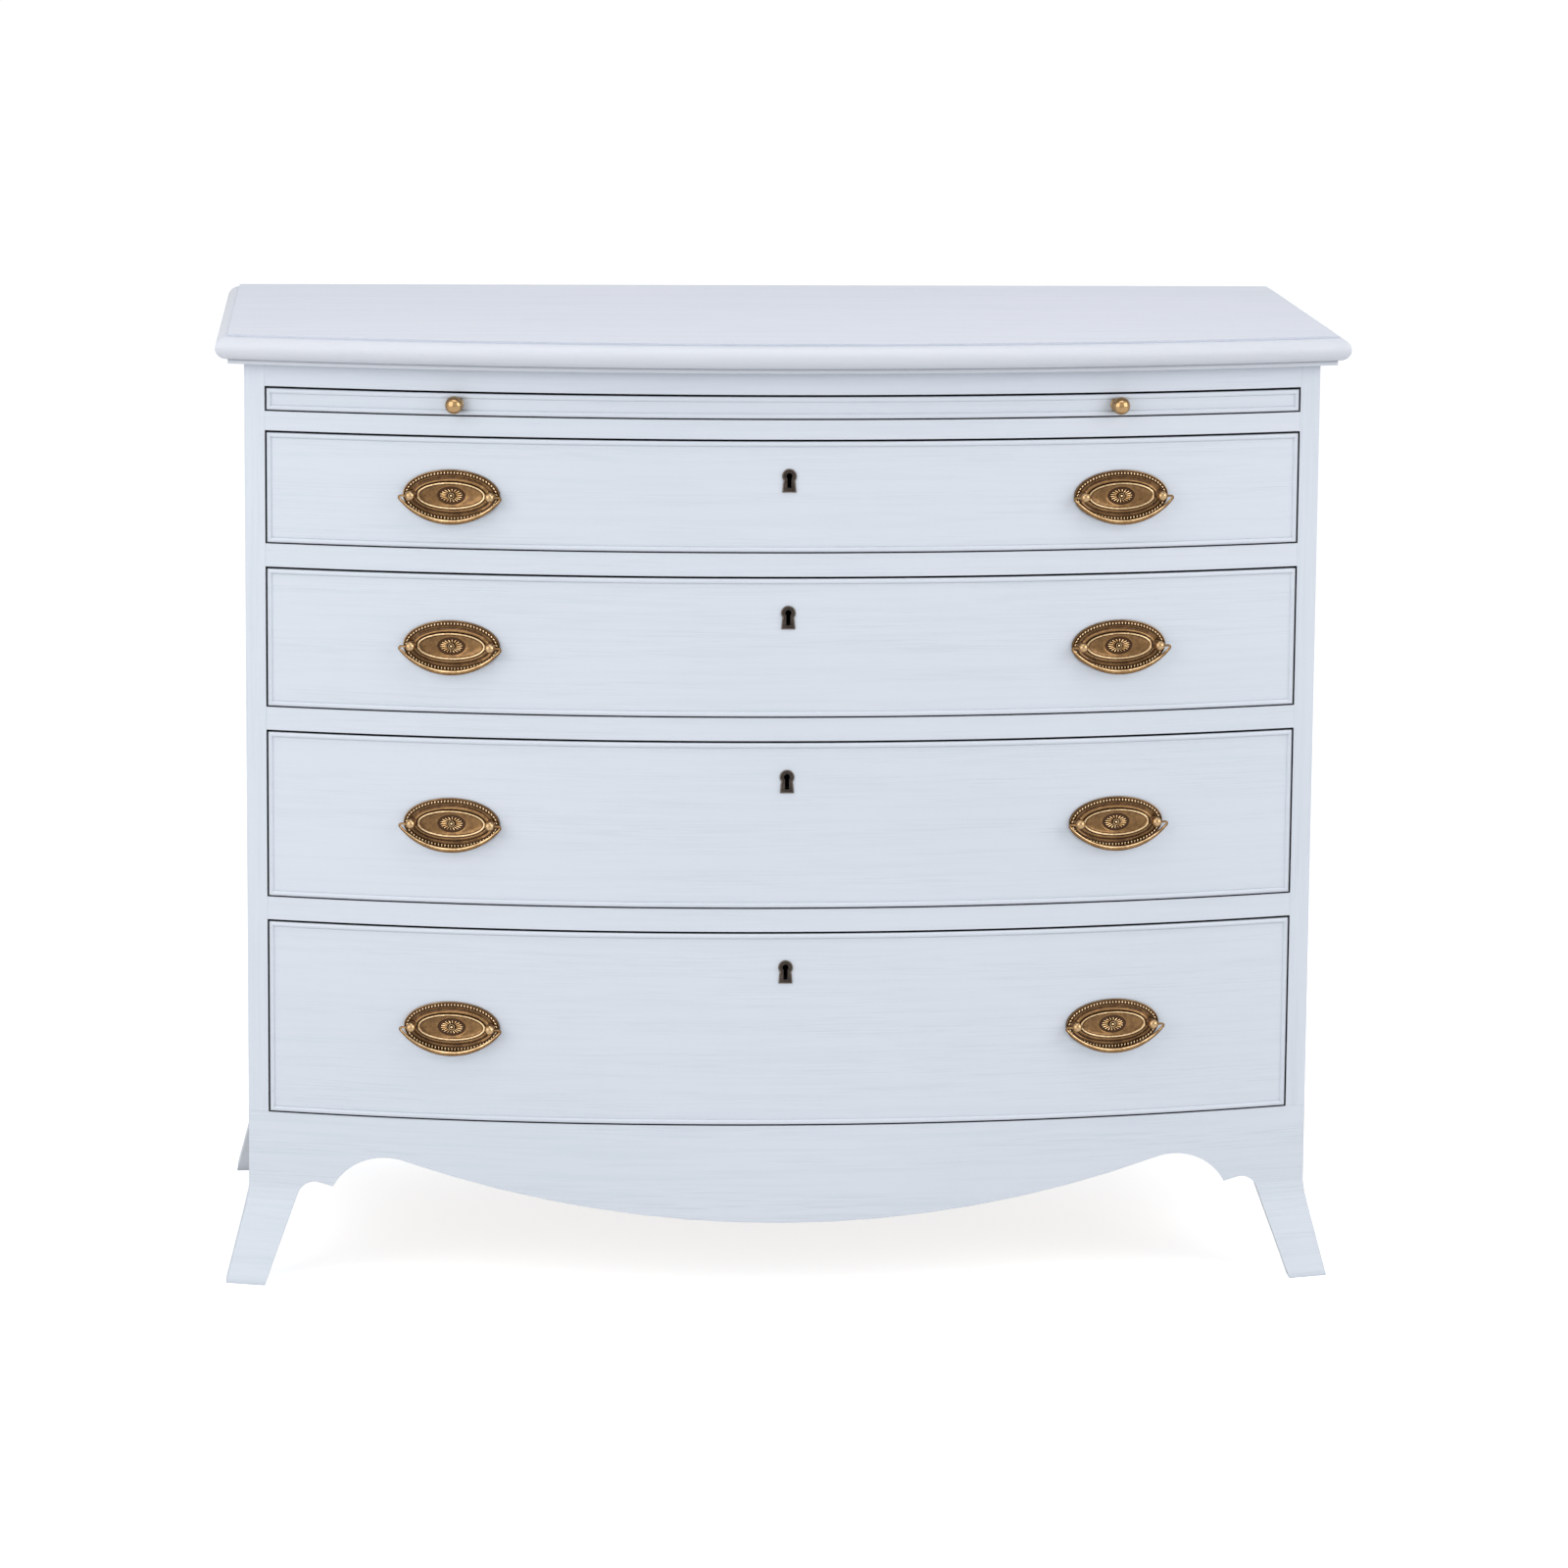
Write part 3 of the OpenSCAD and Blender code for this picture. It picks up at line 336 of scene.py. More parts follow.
def bare_oak(name, axis):
    """Clear-sealed oak, inside the case and the drawers."""
    material, g = new_material(name)
    place = g.add("ShaderNodeTexCoord").outputs["Object"]
    bands = g.noise(place, along(axis, *OAK_BANDS), detail=4.0)
    pores = g.noise(place, along(axis, *OAK_PORES), detail=1.0)
    streaks = g.noise(place, along(axis, *OAK_STREAKS), detail=3.0)
    wood = g.mix(g.ramp(bands, 0.35, 0.65), *OAK_TINTS)
    wood = g.mix(g.math("MULTIPLY", g.ramp(streaks, 0.45, 0.70), OAK_STREAK_SHARE), wood, OAK_STREAK)
    wood = g.mix(g.math("MULTIPLY", g.ramp(pores, 0.60, 0.70), OAK_PORE_SHARE), wood, OAK_PORE)
    g.surface(Base_Color=wood, Roughness=g.roughness(bands, *OAK_ROUGHNESS),
              Normal=g.bump(g.math("SUBTRACT", streaks, pores), OAK_DEPTH * MM))
    return material


def brass(name, tones, gloss, mottle, lacquer):
    """Aged brass: tones are those of its grime and of its dark, middle and bright metal.

    Each vertex's wear, from 0 in a hollow to 1 on a rubbed edge, picks the metal's tone, and a roughness
    from the dull to the rubbed one of gloss. On the bail the wear also holds a painted highlight along the
    bar's upper slope and painted shade on its lower side. mottle is the strength of the patina, and lacquer
    the share of a thin clear coat.
    """
    material, g = new_material(name)
    grime, dark, middle, bright = tones
    dull, rubbed = gloss
    place = g.add("ShaderNodeTexCoord").outputs["Object"]
    wear = g.add("ShaderNodeAttribute", attribute_name="wear").outputs["Fac"]
    patches = g.noise(place, evenly(BRASS_PATCHES))
    specks = g.noise(place, evenly(BRASS_SPECKS), detail=3.0)
    patina = g.math("SUBTRACT", g.math("ADD", patches, specks), 1.0)
    mottled = g.math("ADD", wear, g.math("MULTIPLY", patina, mottle))
    colour = g.mix(g.ramp(mottled, 0.0, 0.55), dark, middle)
    colour = g.mix(g.ramp(mottled, 0.5, 1.0), colour, bright)
    clean = g.math("ADD", g.crevice(BRASS_GAP_REACH * MM), g.math("MULTIPLY", wear, BRASS_RUBBED_CLEAN))
    colour = g.mix(g.ramp(clean, 0.15, 0.70), grime, colour)
    pits = g.noise(place, evenly(BRASS_PITS))
    g.surface(Base_Color=colour, Metallic=1.0, Roughness=g.spread(mottled, 0.1, 0.6, dull, rubbed),
              Specular_Tint=BRASS_SPECULAR_TINT, Coat_Weight=lacquer, Coat_IOR=LACQUER_IOR,
              Coat_Roughness=LACQUER_ROUGHNESS, Normal=g.bump(pits, BRASS_DEPTH * MM))
    return material


def steel(name):
    """Satin steel of the lock cases, darkened to near black by painted shade where other parts lie close."""
    material, g = new_material(name)
    place = g.add("ShaderNodeTexCoord").outputs["Object"]
    brushed = g.noise(place, along(Z, *STEEL_BRUSHING))
    tone = g.mix(brushed, *STEEL_TINTS)
    # Painted shade: near black where other parts lie close
    tone = g.mix(g.ramp(g.crevice(STEEL_GAP_REACH * MM), 0.1, 0.9), STEEL_GAP_SHADE, tone)
    g.surface(Base_Color=tone, Metallic=1.0, Roughness=g.roughness(brushed, *STEEL_ROUGHNESS))
    return material


def dress_cad_nodes():
    """Gives every CAD node its finish, with the grain along its length.

    A node that isn't named here is bowed, or pieces stand in for it.
    """
    straight, deep, upright = [painted_oak("painted_oak_%s" % axis, i) for i, axis in enumerate("xyz")]
    curved = painted_oak("painted_oak_bow", X, bowed=True, figure=BOW_FIGURE)
    bare_x, bare_y, bare_z = [bare_oak("bare_oak_%s" % axis, i) for i, axis in enumerate("xyz")]
    nose = [corner[Z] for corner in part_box("top_board")]
    finishes = {
        "top_board": painted_oak("painted_top", X, tints=GREY_PAINT, nose=nose),
        "side_left": upright,
        "side_right": upright,
        "base_left": deep,
        "base_right": deep,
        "base_back": straight,
        "base_front": painted_oak("painted_oak_apron", X, bowed=True),
        "slide_board": straight,
        "back_panel": bare_x,
        "bottom_board": bare_x,
        "runners": bare_y,
        "drawer_stops": bare_x,
        "glue_blocks": bare_z,
    }
    for n in DRAWERS:
        finishes["drawer_%d_sides" % n] = bare_y
        finishes["drawer_%d_back" % n] = bare_x
        finishes["drawer_%d_bottom" % n] = bare_x
        finishes["drawer_%d_lock" % n] = STEEL
        finishes["drawer_%d_bolt" % n] = POLISHED
    for name, node in NODES.items():
        node.data.materials.clear()
        node.data.materials.append(finishes.get(name, curved))


# ---------------------------------------------------------------- mesh helpers

class Skin:
    """Points in millimetres, faces, and for each point how much its surface is rubbed bright; on the bail
    this also holds a painted highlight and painted shade.
    """

    def __init__(self):
        self.points = []
        self.wear = []
        self.faces = []

    def add(self, points, wear):
        """Adds points that share one wear, and gives the number of the first."""
        first = len(self.points)
        self.points += points
        self.wear += [wear] * len(points)
        return first

    def rings(self, rings, close_first=True, close_last=True):
        """Joins closed rings of equal length. A ring is (points, wear); wear may be a list."""
        first = len(self.points)
        size = len(rings[0][0])
        for points, wear in rings:
            self.points += points
            self.wear += wear if isinstance(wear, list) else [wear] * size
        for j in range(len(rings) - 1):
            for i in range(size):
                a = first + j * size + i
                b = first + j * size + (i + 1) % size
                self.faces.append((a, b, b + size, a + size))
        if close_first:
            self.fan(first, size, rings[0], True)
        if close_last:
            self.fan(first + (len(rings) - 1) * size, size, rings[-1], False)

    def fan(self, start, size, ring, backwards):
        """Closes a ring with triangles to its middle."""
        points, wear = ring
        middle = tuple(sum(p[k] for p in points) / size for k in range(3))
        hub = self.add([middle], wear[0] if isinstance(wear, list) else wear)
        for i in range(size):
            a = start + i
            b = start + (i + 1) % size
            self.faces.append((b, a, hub) if backwards else (a, b, hub))

    def mesh(self, name, smooth_below=50):
        """The finished mesh, smooth but for edges that turn by more degrees than smooth_below."""
        mesh = bpy.data.meshes.new(name)
        mesh.from_pydata([tuple(c * MM for c in p) for p in self.points], [], self.faces)
        mesh.attributes.new("wear", "FLOAT", "POINT").data.foreach_set("value", self.wear)
        mesh.polygons.foreach_set("use_smooth", [True] * len(mesh.polygons))
        mesh.set_sharp_from_angle(angle=math.radians(smooth_below))
        mesh.validate()
        return mesh


def full_turn(steps):
    """Evenly spaced angles of one full turn."""
    return [math.tau * i / steps for i in range(steps)]


def oval_ring(half_w, half_h, out, steps, follow=0.0):
    """Ring of an ellipse on the drawer face at a distance out of it; follow bends it round the bow."""
    ring = []
    for a in full_turn(steps):
        x = half_w * math.cos(a)
        ring.append((x, follow * x * x - out, half_h * math.sin(a)))
    return ring


def turned(skin, form, steps):
    """Adds a turned shape whose axis stands out of the face; its form is (radius, distance out, wear)."""
    rings = []
    for radius, out, wear in form:
        rings.append(([(radius * math.cos(a), -out, radius * math.sin(a)) for a in full_turn(steps)], wear))
    skin.rings(rings)


def swept(skin, path, section, wear, rub, out=0.0):
    """Adds a bar along a path of (x, z, half width, half depth, heading).

    The section is (across, out) shares. wear goes round it, and rub scales that for each point of the path.
    """
    rings = []
    for (x, z, wide, deep, heading), share in zip(path, rub):
        across = (math.sin(heading), -math.cos(heading))
        points = [(x + across[0] * wide * w, -out - deep * d, z + across[1] * wide * w) for w, d in section]
        rings.append((points, [share * w for w in wear]))
    skin.rings(rings)


def place_piece(name, mesh, matrix, body, material, slot, *nodes):
    """Puts a finished mesh in place, on its body, standing for the solids it replaces."""
    piece = bpy.data.objects.new(name, mesh)
    piece.matrix_world = matrix
    bpy.context.scene.collection.objects.link(piece)
    if not mesh.materials:
        mesh.materials.append(material)
    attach(piece, body)
    if nodes:
        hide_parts(*nodes)


# ---------------------------------------------------------------- handle plates

PLATE_HALF_W = 43.0
PLATE_HALF_H = 22.8
PLATE_STEPS = 144
PLATE_FOOT_WEAR = 0.1
# The plate's mouldings from its edge inwards, as (inset along, inset up, distance out, wear)
PLATE_MOULDINGS = (
    (0.0, 0.0, 0.9, 0.25), (0.25, 0.25, 1.5, 0.50), (0.65, 0.65, 1.6, 0.50), (0.9, 0.9, 1.1, 0.05),
    (4.7, 4.5, 1.0, 0.0), (5.0, 4.8, 1.4, 0.30), (6.2, 5.6, 1.4, 0.28), (6.8, 6.1, 0.8, 0.30),
    (7.3, 6.5, 0.7, 0.12), (8.3, 7.4, 0.75, 0.10), (8.8, 7.8, 1.1, 0.24), (9.4, 8.3, 1.7, 0.42),
    (10.0, 8.8, 2.05, 0.50), (10.7, 9.3, 2.1, 0.40), (11.5, 9.9, 1.8, 0.10), (12.2, 10.5, 1.55, -0.10),
    (12.5, 10.9, 2.2, 0.45), (12.8, 11.15, 2.8, 0.80), (13.9, 12.1, 3.0, 0.80), (14.3, 12.45, 2.8, 0.60),
    (14.6, 12.65, 2.3, 0.12), (16.0, 13.0, 1.75, 0.28), (18.4, 13.4, 1.5, 0.33), (22.2, 13.9, 1.3, 0.33),
    (27.0, 14.4, 1.15, 0.32), (30.0, 14.7, 1.1, 0.42), (30.7, 14.95, 0.9, 0.10), (31.0, 15.1, 0.4, -0.2),
    (33.5, 17.5, 0.35, -0.2))

# The rope border's beads
BEAD_COUNT = 66
BEAD_INSET = 2.8
BEAD_HALF_L = 1.4
BEAD_HALF_W = 0.70
BEAD_SIDES = 8
# How far a bead leans in from upright, as a share of how far the border's normal leans out
BEAD_LEAN = 0.5
# From its foot to its crown, as (share of its half length and half width, distance out, wear)
BEAD_LAYERS = ((1.0, 0.6, 0.0), (0.98, 1.1, 0.3), (0.75, 1.6, 0.80), (0.35, 1.85, 0.9))

# The rosette's petals: half widths and half heights of the ovals that hold their feet and their tips
PETALS = 18
PETAL_FEET = (2.9, 2.4)
PETAL_TIPS = (10.2, 6.1)
PETAL_SWIRL = 0.10
PETAL_OUT = 0.5
# Along a petal: share of its length, half width and crest height
PETAL_FORM = (
    (0.0, 0.22, 0.5), (0.12, 0.36, 0.9), (0.45, 0.50, 1.15), (0.78, 0.70, 1.25), (0.92, 0.62, 1.1),
    (1.0, 0.28, 0.5))
# Across a petal, as shares of its half width and height
PETAL_SECTION = ((-1, -0.5), (-0.85, 0.35), (-0.45, 0.85), (0, 1), (0.45, 0.85), (0.85, 0.35), (1, -0.5))
PETAL_WEAR = [0.0, 0.7, 1.2, 1.2, 1.2, 0.7, 0.0]
PETAL_RUB = [0.3, 0.5, 0.85, 1.0, 1.0, 0.6]
# The rosette's middle as (radius, distance out, wear): a ring, a groove and a ball
ROSETTE_HUB = (
    (2.9, 0.5, 0.1), (2.8, 1.5, 0.4), (2.55, 1.9, 0.8), (2.2, 1.9, 0.7), (1.85, 1.4, 0.0), (1.15, 1.3, 0.0),
    (1.1, 1.9, 0.5), (0.85, 2.4, 1.0), (0.45, 2.7, 1.0))
HUB_STEPS = 24


def even_pitch(half_w, half_h, count):
    """Angles of points at an even pitch round an oval, found along its measured outline."""
    fine = 1440
    angles = [math.tau * i / fine for i in range(fine + 1)]
    length = [0.0]
    for a, b in zip(angles, angles[1:]):
        step = math.hypot(half_w * (math.cos(b) - math.cos(a)), half_h * (math.sin(b) - math.sin(a)))
        length.append(length[-1] + step)
    found = []
    k = 0
    for i in range(count):
        wanted = length[-1] * (i + 0.5) / count
        while length[k] < wanted:
            k += 1
        found.append(angles[k])
    return found


def bead(skin, x, z, lean):
    """Adds one slim bead, its length turned from upright by lean."""
    long_way = (-math.sin(lean), math.cos(lean))
    rings = []
    for share, out, wear in BEAD_LAYERS:
        ring = []
        for a in full_turn(BEAD_SIDES):
            u = BEAD_HALF_L * share * math.sin(a)
            v = BEAD_HALF_W * share * math.cos(a)
            ring.append((x + u * long_way[0] + v * long_way[1], -out, z + u * long_way[1] - v * long_way[0]))
        rings.append((ring, wear))
    skin.rings(rings)


def rope_border(skin):
    """Slim beads at an even pitch round the oval, leaning away from its radius."""
    half_w = PLATE_HALF_W - BEAD_INSET
    half_h = PLATE_HALF_H - BEAD_INSET
    for a in even_pitch(half_w, half_h, BEAD_COUNT):
        x = half_w * math.cos(a)
        z = half_h * math.sin(a)
        lean = BEAD_LEAN * math.atan2(x / half_w ** 2, abs(z) / half_h ** 2)
        bead(skin, x, z, lean if z > 0 else -lean)


def rosette(skin):
    """A daisy of slim swirling petals, with dark gaps between them, round a ringed ball."""
    for a in full_turn(PETALS):
        foot = (PETAL_FEET[0] * math.cos(a), PETAL_FEET[1] * math.sin(a))
        tip = (PETAL_TIPS[0] * math.cos(a + PETAL_SWIRL), PETAL_TIPS[1] * math.sin(a + PETAL_SWIRL))
        run = (tip[0] - foot[0], tip[1] - foot[1])
        heading = math.atan2(run[1], run[0])
        path = [(foot[0] + run[0] * share, foot[1] + run[1] * share, wide, high, heading)
                for share, wide, high in PETAL_FORM]
        swept(skin, path, PETAL_SECTION, PETAL_WEAR, PETAL_RUB, PETAL_OUT)
    turned(skin, ROSETTE_HUB, HUB_STEPS)


def plate_mesh():
    """An oval plate whose edge follows the bow, with its mouldings, rope border and rosette."""
    skin = Skin()
    follow = 1 / (2 * BOW_R)
    rings = [(oval_ring(PLATE_HALF_W, PLATE_HALF_H, 0, PLATE_STEPS, follow), PLATE_FOOT_WEAR)]
    for along_in, up_in, out, wear in PLATE_MOULDINGS:
        rings.append((oval_ring(PLATE_HALF_W - along_in, PLATE_HALF_H - up_in, out, PLATE_STEPS), wear))
    skin.rings(rings)
    rope_border(skin)
    rosette(skin)
    return skin.mesh("handle_plate")


# ---------------------------------------------------------------- posts, nuts and bails

# Distance of the posts from the plate's middle, and of the bail's axis from the face
POST_X = 35.3
PIVOT_OUT = 9.0

BALL_R = 4.4
BALL_NECK_R = 2.5
BALL_STEPS = 14
# A ball's pole is a tiny ring, so that no point lies on another
POLE_R = 0.02
SHANK_R = 2.0
# The post from the face to its ball, as (radius, distance out, wear): a collar and a waisted neck
POST_FORM = [
    (SHANK_R, 0.2, 0.15), (4.3, 0.6, 0.15), (4.4, 1.9, 0.15), (4.1, 2.4, 0.15), (3.2, 2.8, 0.05),
    (2.5, 3.5, 0.05), (2.3, 4.5, 0.05), (2.4, 5.4, 0.05)]
POST_STEPS = 24
# Wear of the ball at its neck, what each ring adds, and its most
BALL_WEAR = 0.10
BALL_WEAR_STEP = 0.1
BALL_WEAR_MOST = 0.65

# The nut seats on the back of the drawer front, so its distance out is negative
NUT_OUT = -22.53
NUT_T = 3.0
NUT_R = 5.0
NUT_FACE_R = 4.35
NUT_BEVEL = 0.4
NUT_STEPS = 48
NUT_WEAR = 0.5

# The thread stops short of the plain shank, which runs up into the collar
SHANK_PAST_NUT = 1.5
SHANK_PLAIN = (-12, 0.8)
SHANK_END_R = 1.65
SHANK_STEPS = 16
SHANK_WEAR = 0.45
THREAD_STOP = -13
THREAD_PITCH = 0.7
THREAD_DEPTH = 0.3

BAIL_HALF_W = 46.7
BAIL_DROP = 22.5
BAIL_CORNER_R = 1.5
BAIL_ARM_R = 0.95
BAIL_END_R = 1.15
# What the bail's half width and half depth gain on their way to its middle
BAIL_SWELL = (1.15, 0.95)
BAIL_BOW_STEPS = 48
BAIL_CORNER_STEPS = 8
# Share of the bar's half width and half depth: a narrow upper slope, a crest and a broad lower slope
BAIL_SECTION = (
    (-1, 0), (-0.88, 0.55), (-0.55, 0.92), (-0.25, 1.0), (0.15, 0.88), (0.6, 0.6), (0.92, 0.25), (1, -0.1),
    (0.85, -0.55), (0.45, -0.85), (-0.1, -0.95), (-0.6, -0.8), (-0.93, -0.4))
# Wear round the section, with a painted highlight along its upper slope and crest and painted shade on its
# lower side
BAIL_WEAR_AND_HIGHLIGHT = [0.30, 0.76, 0.80, 0.60, 0.48, 0.42, 0.32, 0.18, 0.12, 0.1, 0.1, 0.1, 0.15]
# The arms and corners are rubbed less than the bow
BAIL_ARM_RUB = 0.8
BAIL_BOW_RUB = 1.0


def ball_profile(radius, centre_out, neck_r, steps):
    """A ball's (radius, distance out) from where its neck meets it round to its far side."""
    start = math.asin(neck_r / radius)
    profile = []
    for i in range(steps + 1):
        a = start + (math.pi - start) * i / steps
        profile.append((max(radius * math.sin(a), POLE_R), centre_out - radius * math.cos(a)))
    return profile


def threaded_shank(skin):
    """Adds a post's shank, which is threaded from its end up to the thread's stop."""
    end = NUT_OUT - NUT_T - SHANK_PAST_NUT
    profile = [(SHANK_END_R, end)]
    for i in range(int((THREAD_STOP - end) / THREAD_PITCH)):
        profile.append((SHANK_R, end + THREAD_PITCH * (i + 0.5)))
        profile.append((SHANK_R - THREAD_DEPTH, end + THREAD_PITCH * (i + 1)))
    profile += [(SHANK_R, out) for out in SHANK_PLAIN]
    turned(skin, [(radius, out, SHANK_WEAR) for radius, out in profile], SHANK_STEPS)


def post_mesh():
    """A turned post: collar, waisted neck, ball, and a threaded shank through the drawer front."""
    skin = Skin()
    ball = []
    for i, (radius, out) in enumerate(ball_profile(BALL_R, PIVOT_OUT, BALL_NECK_R, BALL_STEPS)):
        ball.append((radius, out, min(BALL_WEAR_MOST, BALL_WEAR + BALL_WEAR_STEP * i)))
    turned(skin, POST_FORM + ball, POST_STEPS)
    threaded_shank(skin)
    return skin.mesh("handle_post")


def nut_mesh():
    """A hexagonal nut with chamfered corners."""
    skin = Skin()
    sixth = math.pi / 3
    flat = NUT_R * math.cos(sixth / 2)
    back = NUT_OUT - NUT_T
    layers = (
        (back, NUT_FACE_R), (back + NUT_BEVEL, NUT_R), (NUT_OUT - NUT_BEVEL, NUT_R), (NUT_OUT, NUT_FACE_R))
    rings = []
    for out, limit in layers:
        ring = []
        for a in full_turn(NUT_STEPS):
            r = min(limit, flat / math.cos((a + sixth / 2) % sixth - sixth / 2))
            ring.append((r * math.cos(a), -out, r * math.sin(a)))
        rings.append((ring, NUT_WEAR))
    skin.rings(rings)
    return skin.mesh("handle_nut", smooth_below=25)


def bail_bow(radius, centre_z, reach):
    """The bail's path below its corners: an arc that turns by reach to each side, thickest in the middle."""
    bow = []
    for i in range(BAIL_BOW_STEPS + 1):
        a = reach * (2 * i / BAIL_BOW_STEPS - 1)
        full = math.cos(math.pi / 2 * a / reach)
        bow.append((radius * math.sin(a), centre_z - radius * math.cos(a),
                    BAIL_END_R + BAIL_SWELL[0] * full, BAIL_END_R + BAIL_SWELL[1] * full, a))
    return bow


def bail_arm(corner_x, reach):
    """The bail's path from the middle of its left post out and round the tight corner."""
    arm = [(x, 0, BAIL_ARM_R, BAIL_ARM_R, -math.pi) for x in (-POST_X, -POST_X - BALL_R)]
    for i in range(BAIL_CORNER_STEPS):
        share = i / BAIL_CORNER_STEPS
        heading = -math.pi + (math.pi - reach) * share
        half = BAIL_ARM_R + (BAIL_END_R - BAIL_ARM_R) * share
        x = -corner_x + BAIL_CORNER_R * math.sin(heading)
        z = -BAIL_CORNER_R - BAIL_CORNER_R * math.cos(heading)
        arm.append((x, z, half, half, heading))
    return arm


def bail_mesh():
    """The swinging bail: a ridged bar that leaves one post, turns a corner and bows down to the other."""
    skin = Skin()
    radius = (BAIL_HALF_W ** 2 + BAIL_DROP ** 2) / (2 * BAIL_DROP)
    centre_z = radius - BAIL_DROP
    corner_x = math.sqrt((radius - BAIL_CORNER_R) ** 2 - (centre_z + BAIL_CORNER_R) ** 2)
    reach = math.atan2(corner_x, centre_z + BAIL_CORNER_R)
    bow = bail_bow(radius, centre_z, reach)
    left = bail_arm(corner_x, reach)
    right = [(-x, z, wide, deep, -heading) for x, z, wide, deep, heading in reversed(left)]
    arm_rub = [BAIL_ARM_RUB] * len(left)
    rub = arm_rub + [BAIL_BOW_RUB] * len(bow) + arm_rub
    swept(skin, left + bow + right, BAIL_SECTION, BAIL_WEAR_AND_HIGHLIGHT, rub)
    return skin.mesh("handle_bail", smooth_below=60)


def make_handles():
    """Dresses the eight handles: plate, two posts with their nuts, and the bail on its own body."""
    plate, post, nut, bail = plate_mesh(), post_mesh(), nut_mesh(), bail_mesh()
    for n in DRAWERS:
        drawer = "drawer_%d" % n
        brasses = drawer + "_brasses"
        for side in SIDES:
            joint = JOINTS["bail_%d_%s_swing" % (n, side)]
            sideways = -Vector(joint["axis"]).normalized()
            inwards = Vector((-sideways.y, sideways.x, 0))
            turn = Matrix((sideways, inwards, Vector((0, 0, 1)))).transposed().to_4x4()
            pivot = Vector(joint["pos_m"])
            face = Matrix.Translation(pivot + inwards * PIVOT_OUT * MM) @ turn
            name = "%s_plate_%s" % (drawer, side)
            place_piece(name, plate, face, drawer, ANTIQUE, "antique_brass", brasses)
            for end, x in (("outer", -POST_X), ("inner", POST_X)):
                spot = face @ Matrix.Translation((x * MM, 0, 0))
                for part, mesh in (("post", post), ("nut", nut)):
                    name = "%s_%s_%s_%s" % (drawer, part, side, end)
                    place_piece(name, mesh, spot, drawer, ANTIQUE, "antique_brass", brasses)
            place_piece("%s_swing_bail_%s" % (drawer, side), bail, Matrix.Translation(pivot) @ turn,
                        "bail_%d_%s" % (n, side), ANTIQUE, "antique_brass", "%s_bail_%s" % (drawer, side))


# ---------------------------------------------------------------- escutcheons and knobs

# The escutcheon's head, and its waist and foot as (half width, height) from the middle of the head
ESC_HEAD_R = 6.4
ESC_WAIST = (5.3, -4.3)
ESC_FOOT = (6.05, -14.2)
# Its rolled edge from the face inwards, as (inset, distance out, wear)
ESC_EDGE = (
    (0, 0, 0.2), (0, 0.85, 0.35), (0.3, 1.15, 0.7), (0.8, 1.2, 0.6), (1.1, 1.0, 0.1), (1.3, 0.9, 0.15))

# The keyhole's round head, the half width of its slot and the height of its foot
KEY_R = 2.8
KEY_SLOT_HALF = 1.8
KEY_FOOT = -10.8
# Its wall from the plate's face into the drawer front, as (inset, distance out, wear)
KEY_WALL = ((-0.35, 0.9, 0.2), (-0.1, 0.85, 0.5), (0, 0.6, 0.2), (0, -6, 0.0))

# The keyhole's place below the opening's top, and the gap between that and the drawer's upper edge
KEY_LOW = 32.0
GAP_TOP = 1.8

# The knob's ball, how far its middle stands out of the face, and its distance from the slide's middle
KNOB_R = 7.9
KNOB_OUT = 9.6
KNOB_X = 290.0
KNOB_NECK_R = 2.9
KNOB_COLLAR_R = 6.9
KNOB_SHANK = 14.0
KNOB_STEPS = 48
KNOB_BALL_STEPS = 20
KNOB_BALL_WEAR = 0.61
# From the shank's end to the neck, as (radius, distance out, wear)
KNOB_FORM = [
    (SHANK_R, -KNOB_SHANK, 0.3), (SHANK_R, -0.2, 0.3), (KNOB_COLLAR_R - 0.2, 0.0, 0.4),
    (KNOB_COLLAR_R, 0.5, 0.7), (KNOB_COLLAR_R - 0.1, 1.0, 0.7), (KNOB_COLLAR_R - 0.5, 1.3, 0.4),
    (4.4, 1.5, 0.1), (3.3, 1.9, 0.0), (KNOB_NECK_R, 2.5, 0.0)]


def keyed_outline(head_r, neck, foot, inset):
    """Outline of a round head over a straight or flared leg, head first, drawn in by an inset.

    A neck that gives no height starts where its width meets the head's circle.
    """
    r = head_r - inset
    neck_x = neck[0] - inset
    neck_z = -math.sqrt(r * r - neck_x * neck_x) if neck[1] is None else neck[1]
    start = math.atan2(neck_z, neck_x)
    head_steps = 26
    points = []
    for i in range(head_steps + 1):
        a = start + (math.pi - 2 * start) * i / head_steps
        points.append((r * math.cos(a), r * math.sin(a)))
    foot_x = foot[0] - inset
    foot_z = foot[1] + inset
    side_steps = 4
    left = [(-neck_x + (neck_x - foot_x) * k / side_steps, neck_z + (foot_z - neck_z) * k / side_steps)
            for k in range(1, side_steps + 1)]
    bottom = [(-foot_x + 2 * foot_x * k / side_steps, foot_z) for k in range(1, side_steps)]
    right = [(-x, z) for x, z in reversed(left)]
    return points + left + bottom + right


def escutcheon_mesh():
    """A keyhole plate with a rolled edge, pierced by the keyhole."""
    skin = Skin()
    rings = []
    for inset, out, wear in ESC_EDGE:
        outline = keyed_outline(ESC_HEAD_R, ESC_WAIST, ESC_FOOT, inset)
        rings.append(([(x, -out, z) for x, z in outline], wear))
    for inset, out, wear in KEY_WALL:
        outline = keyed_outline(KEY_R, (KEY_SLOT_HALF, None), (KEY_SLOT_HALF, KEY_FOOT), inset)
        rings.append(([(x, -out, z) for x, z in outline], wear))
    skin.rings(rings, close_first=False, close_last=False)
    return skin.mesh("escutcheon", smooth_below=45)


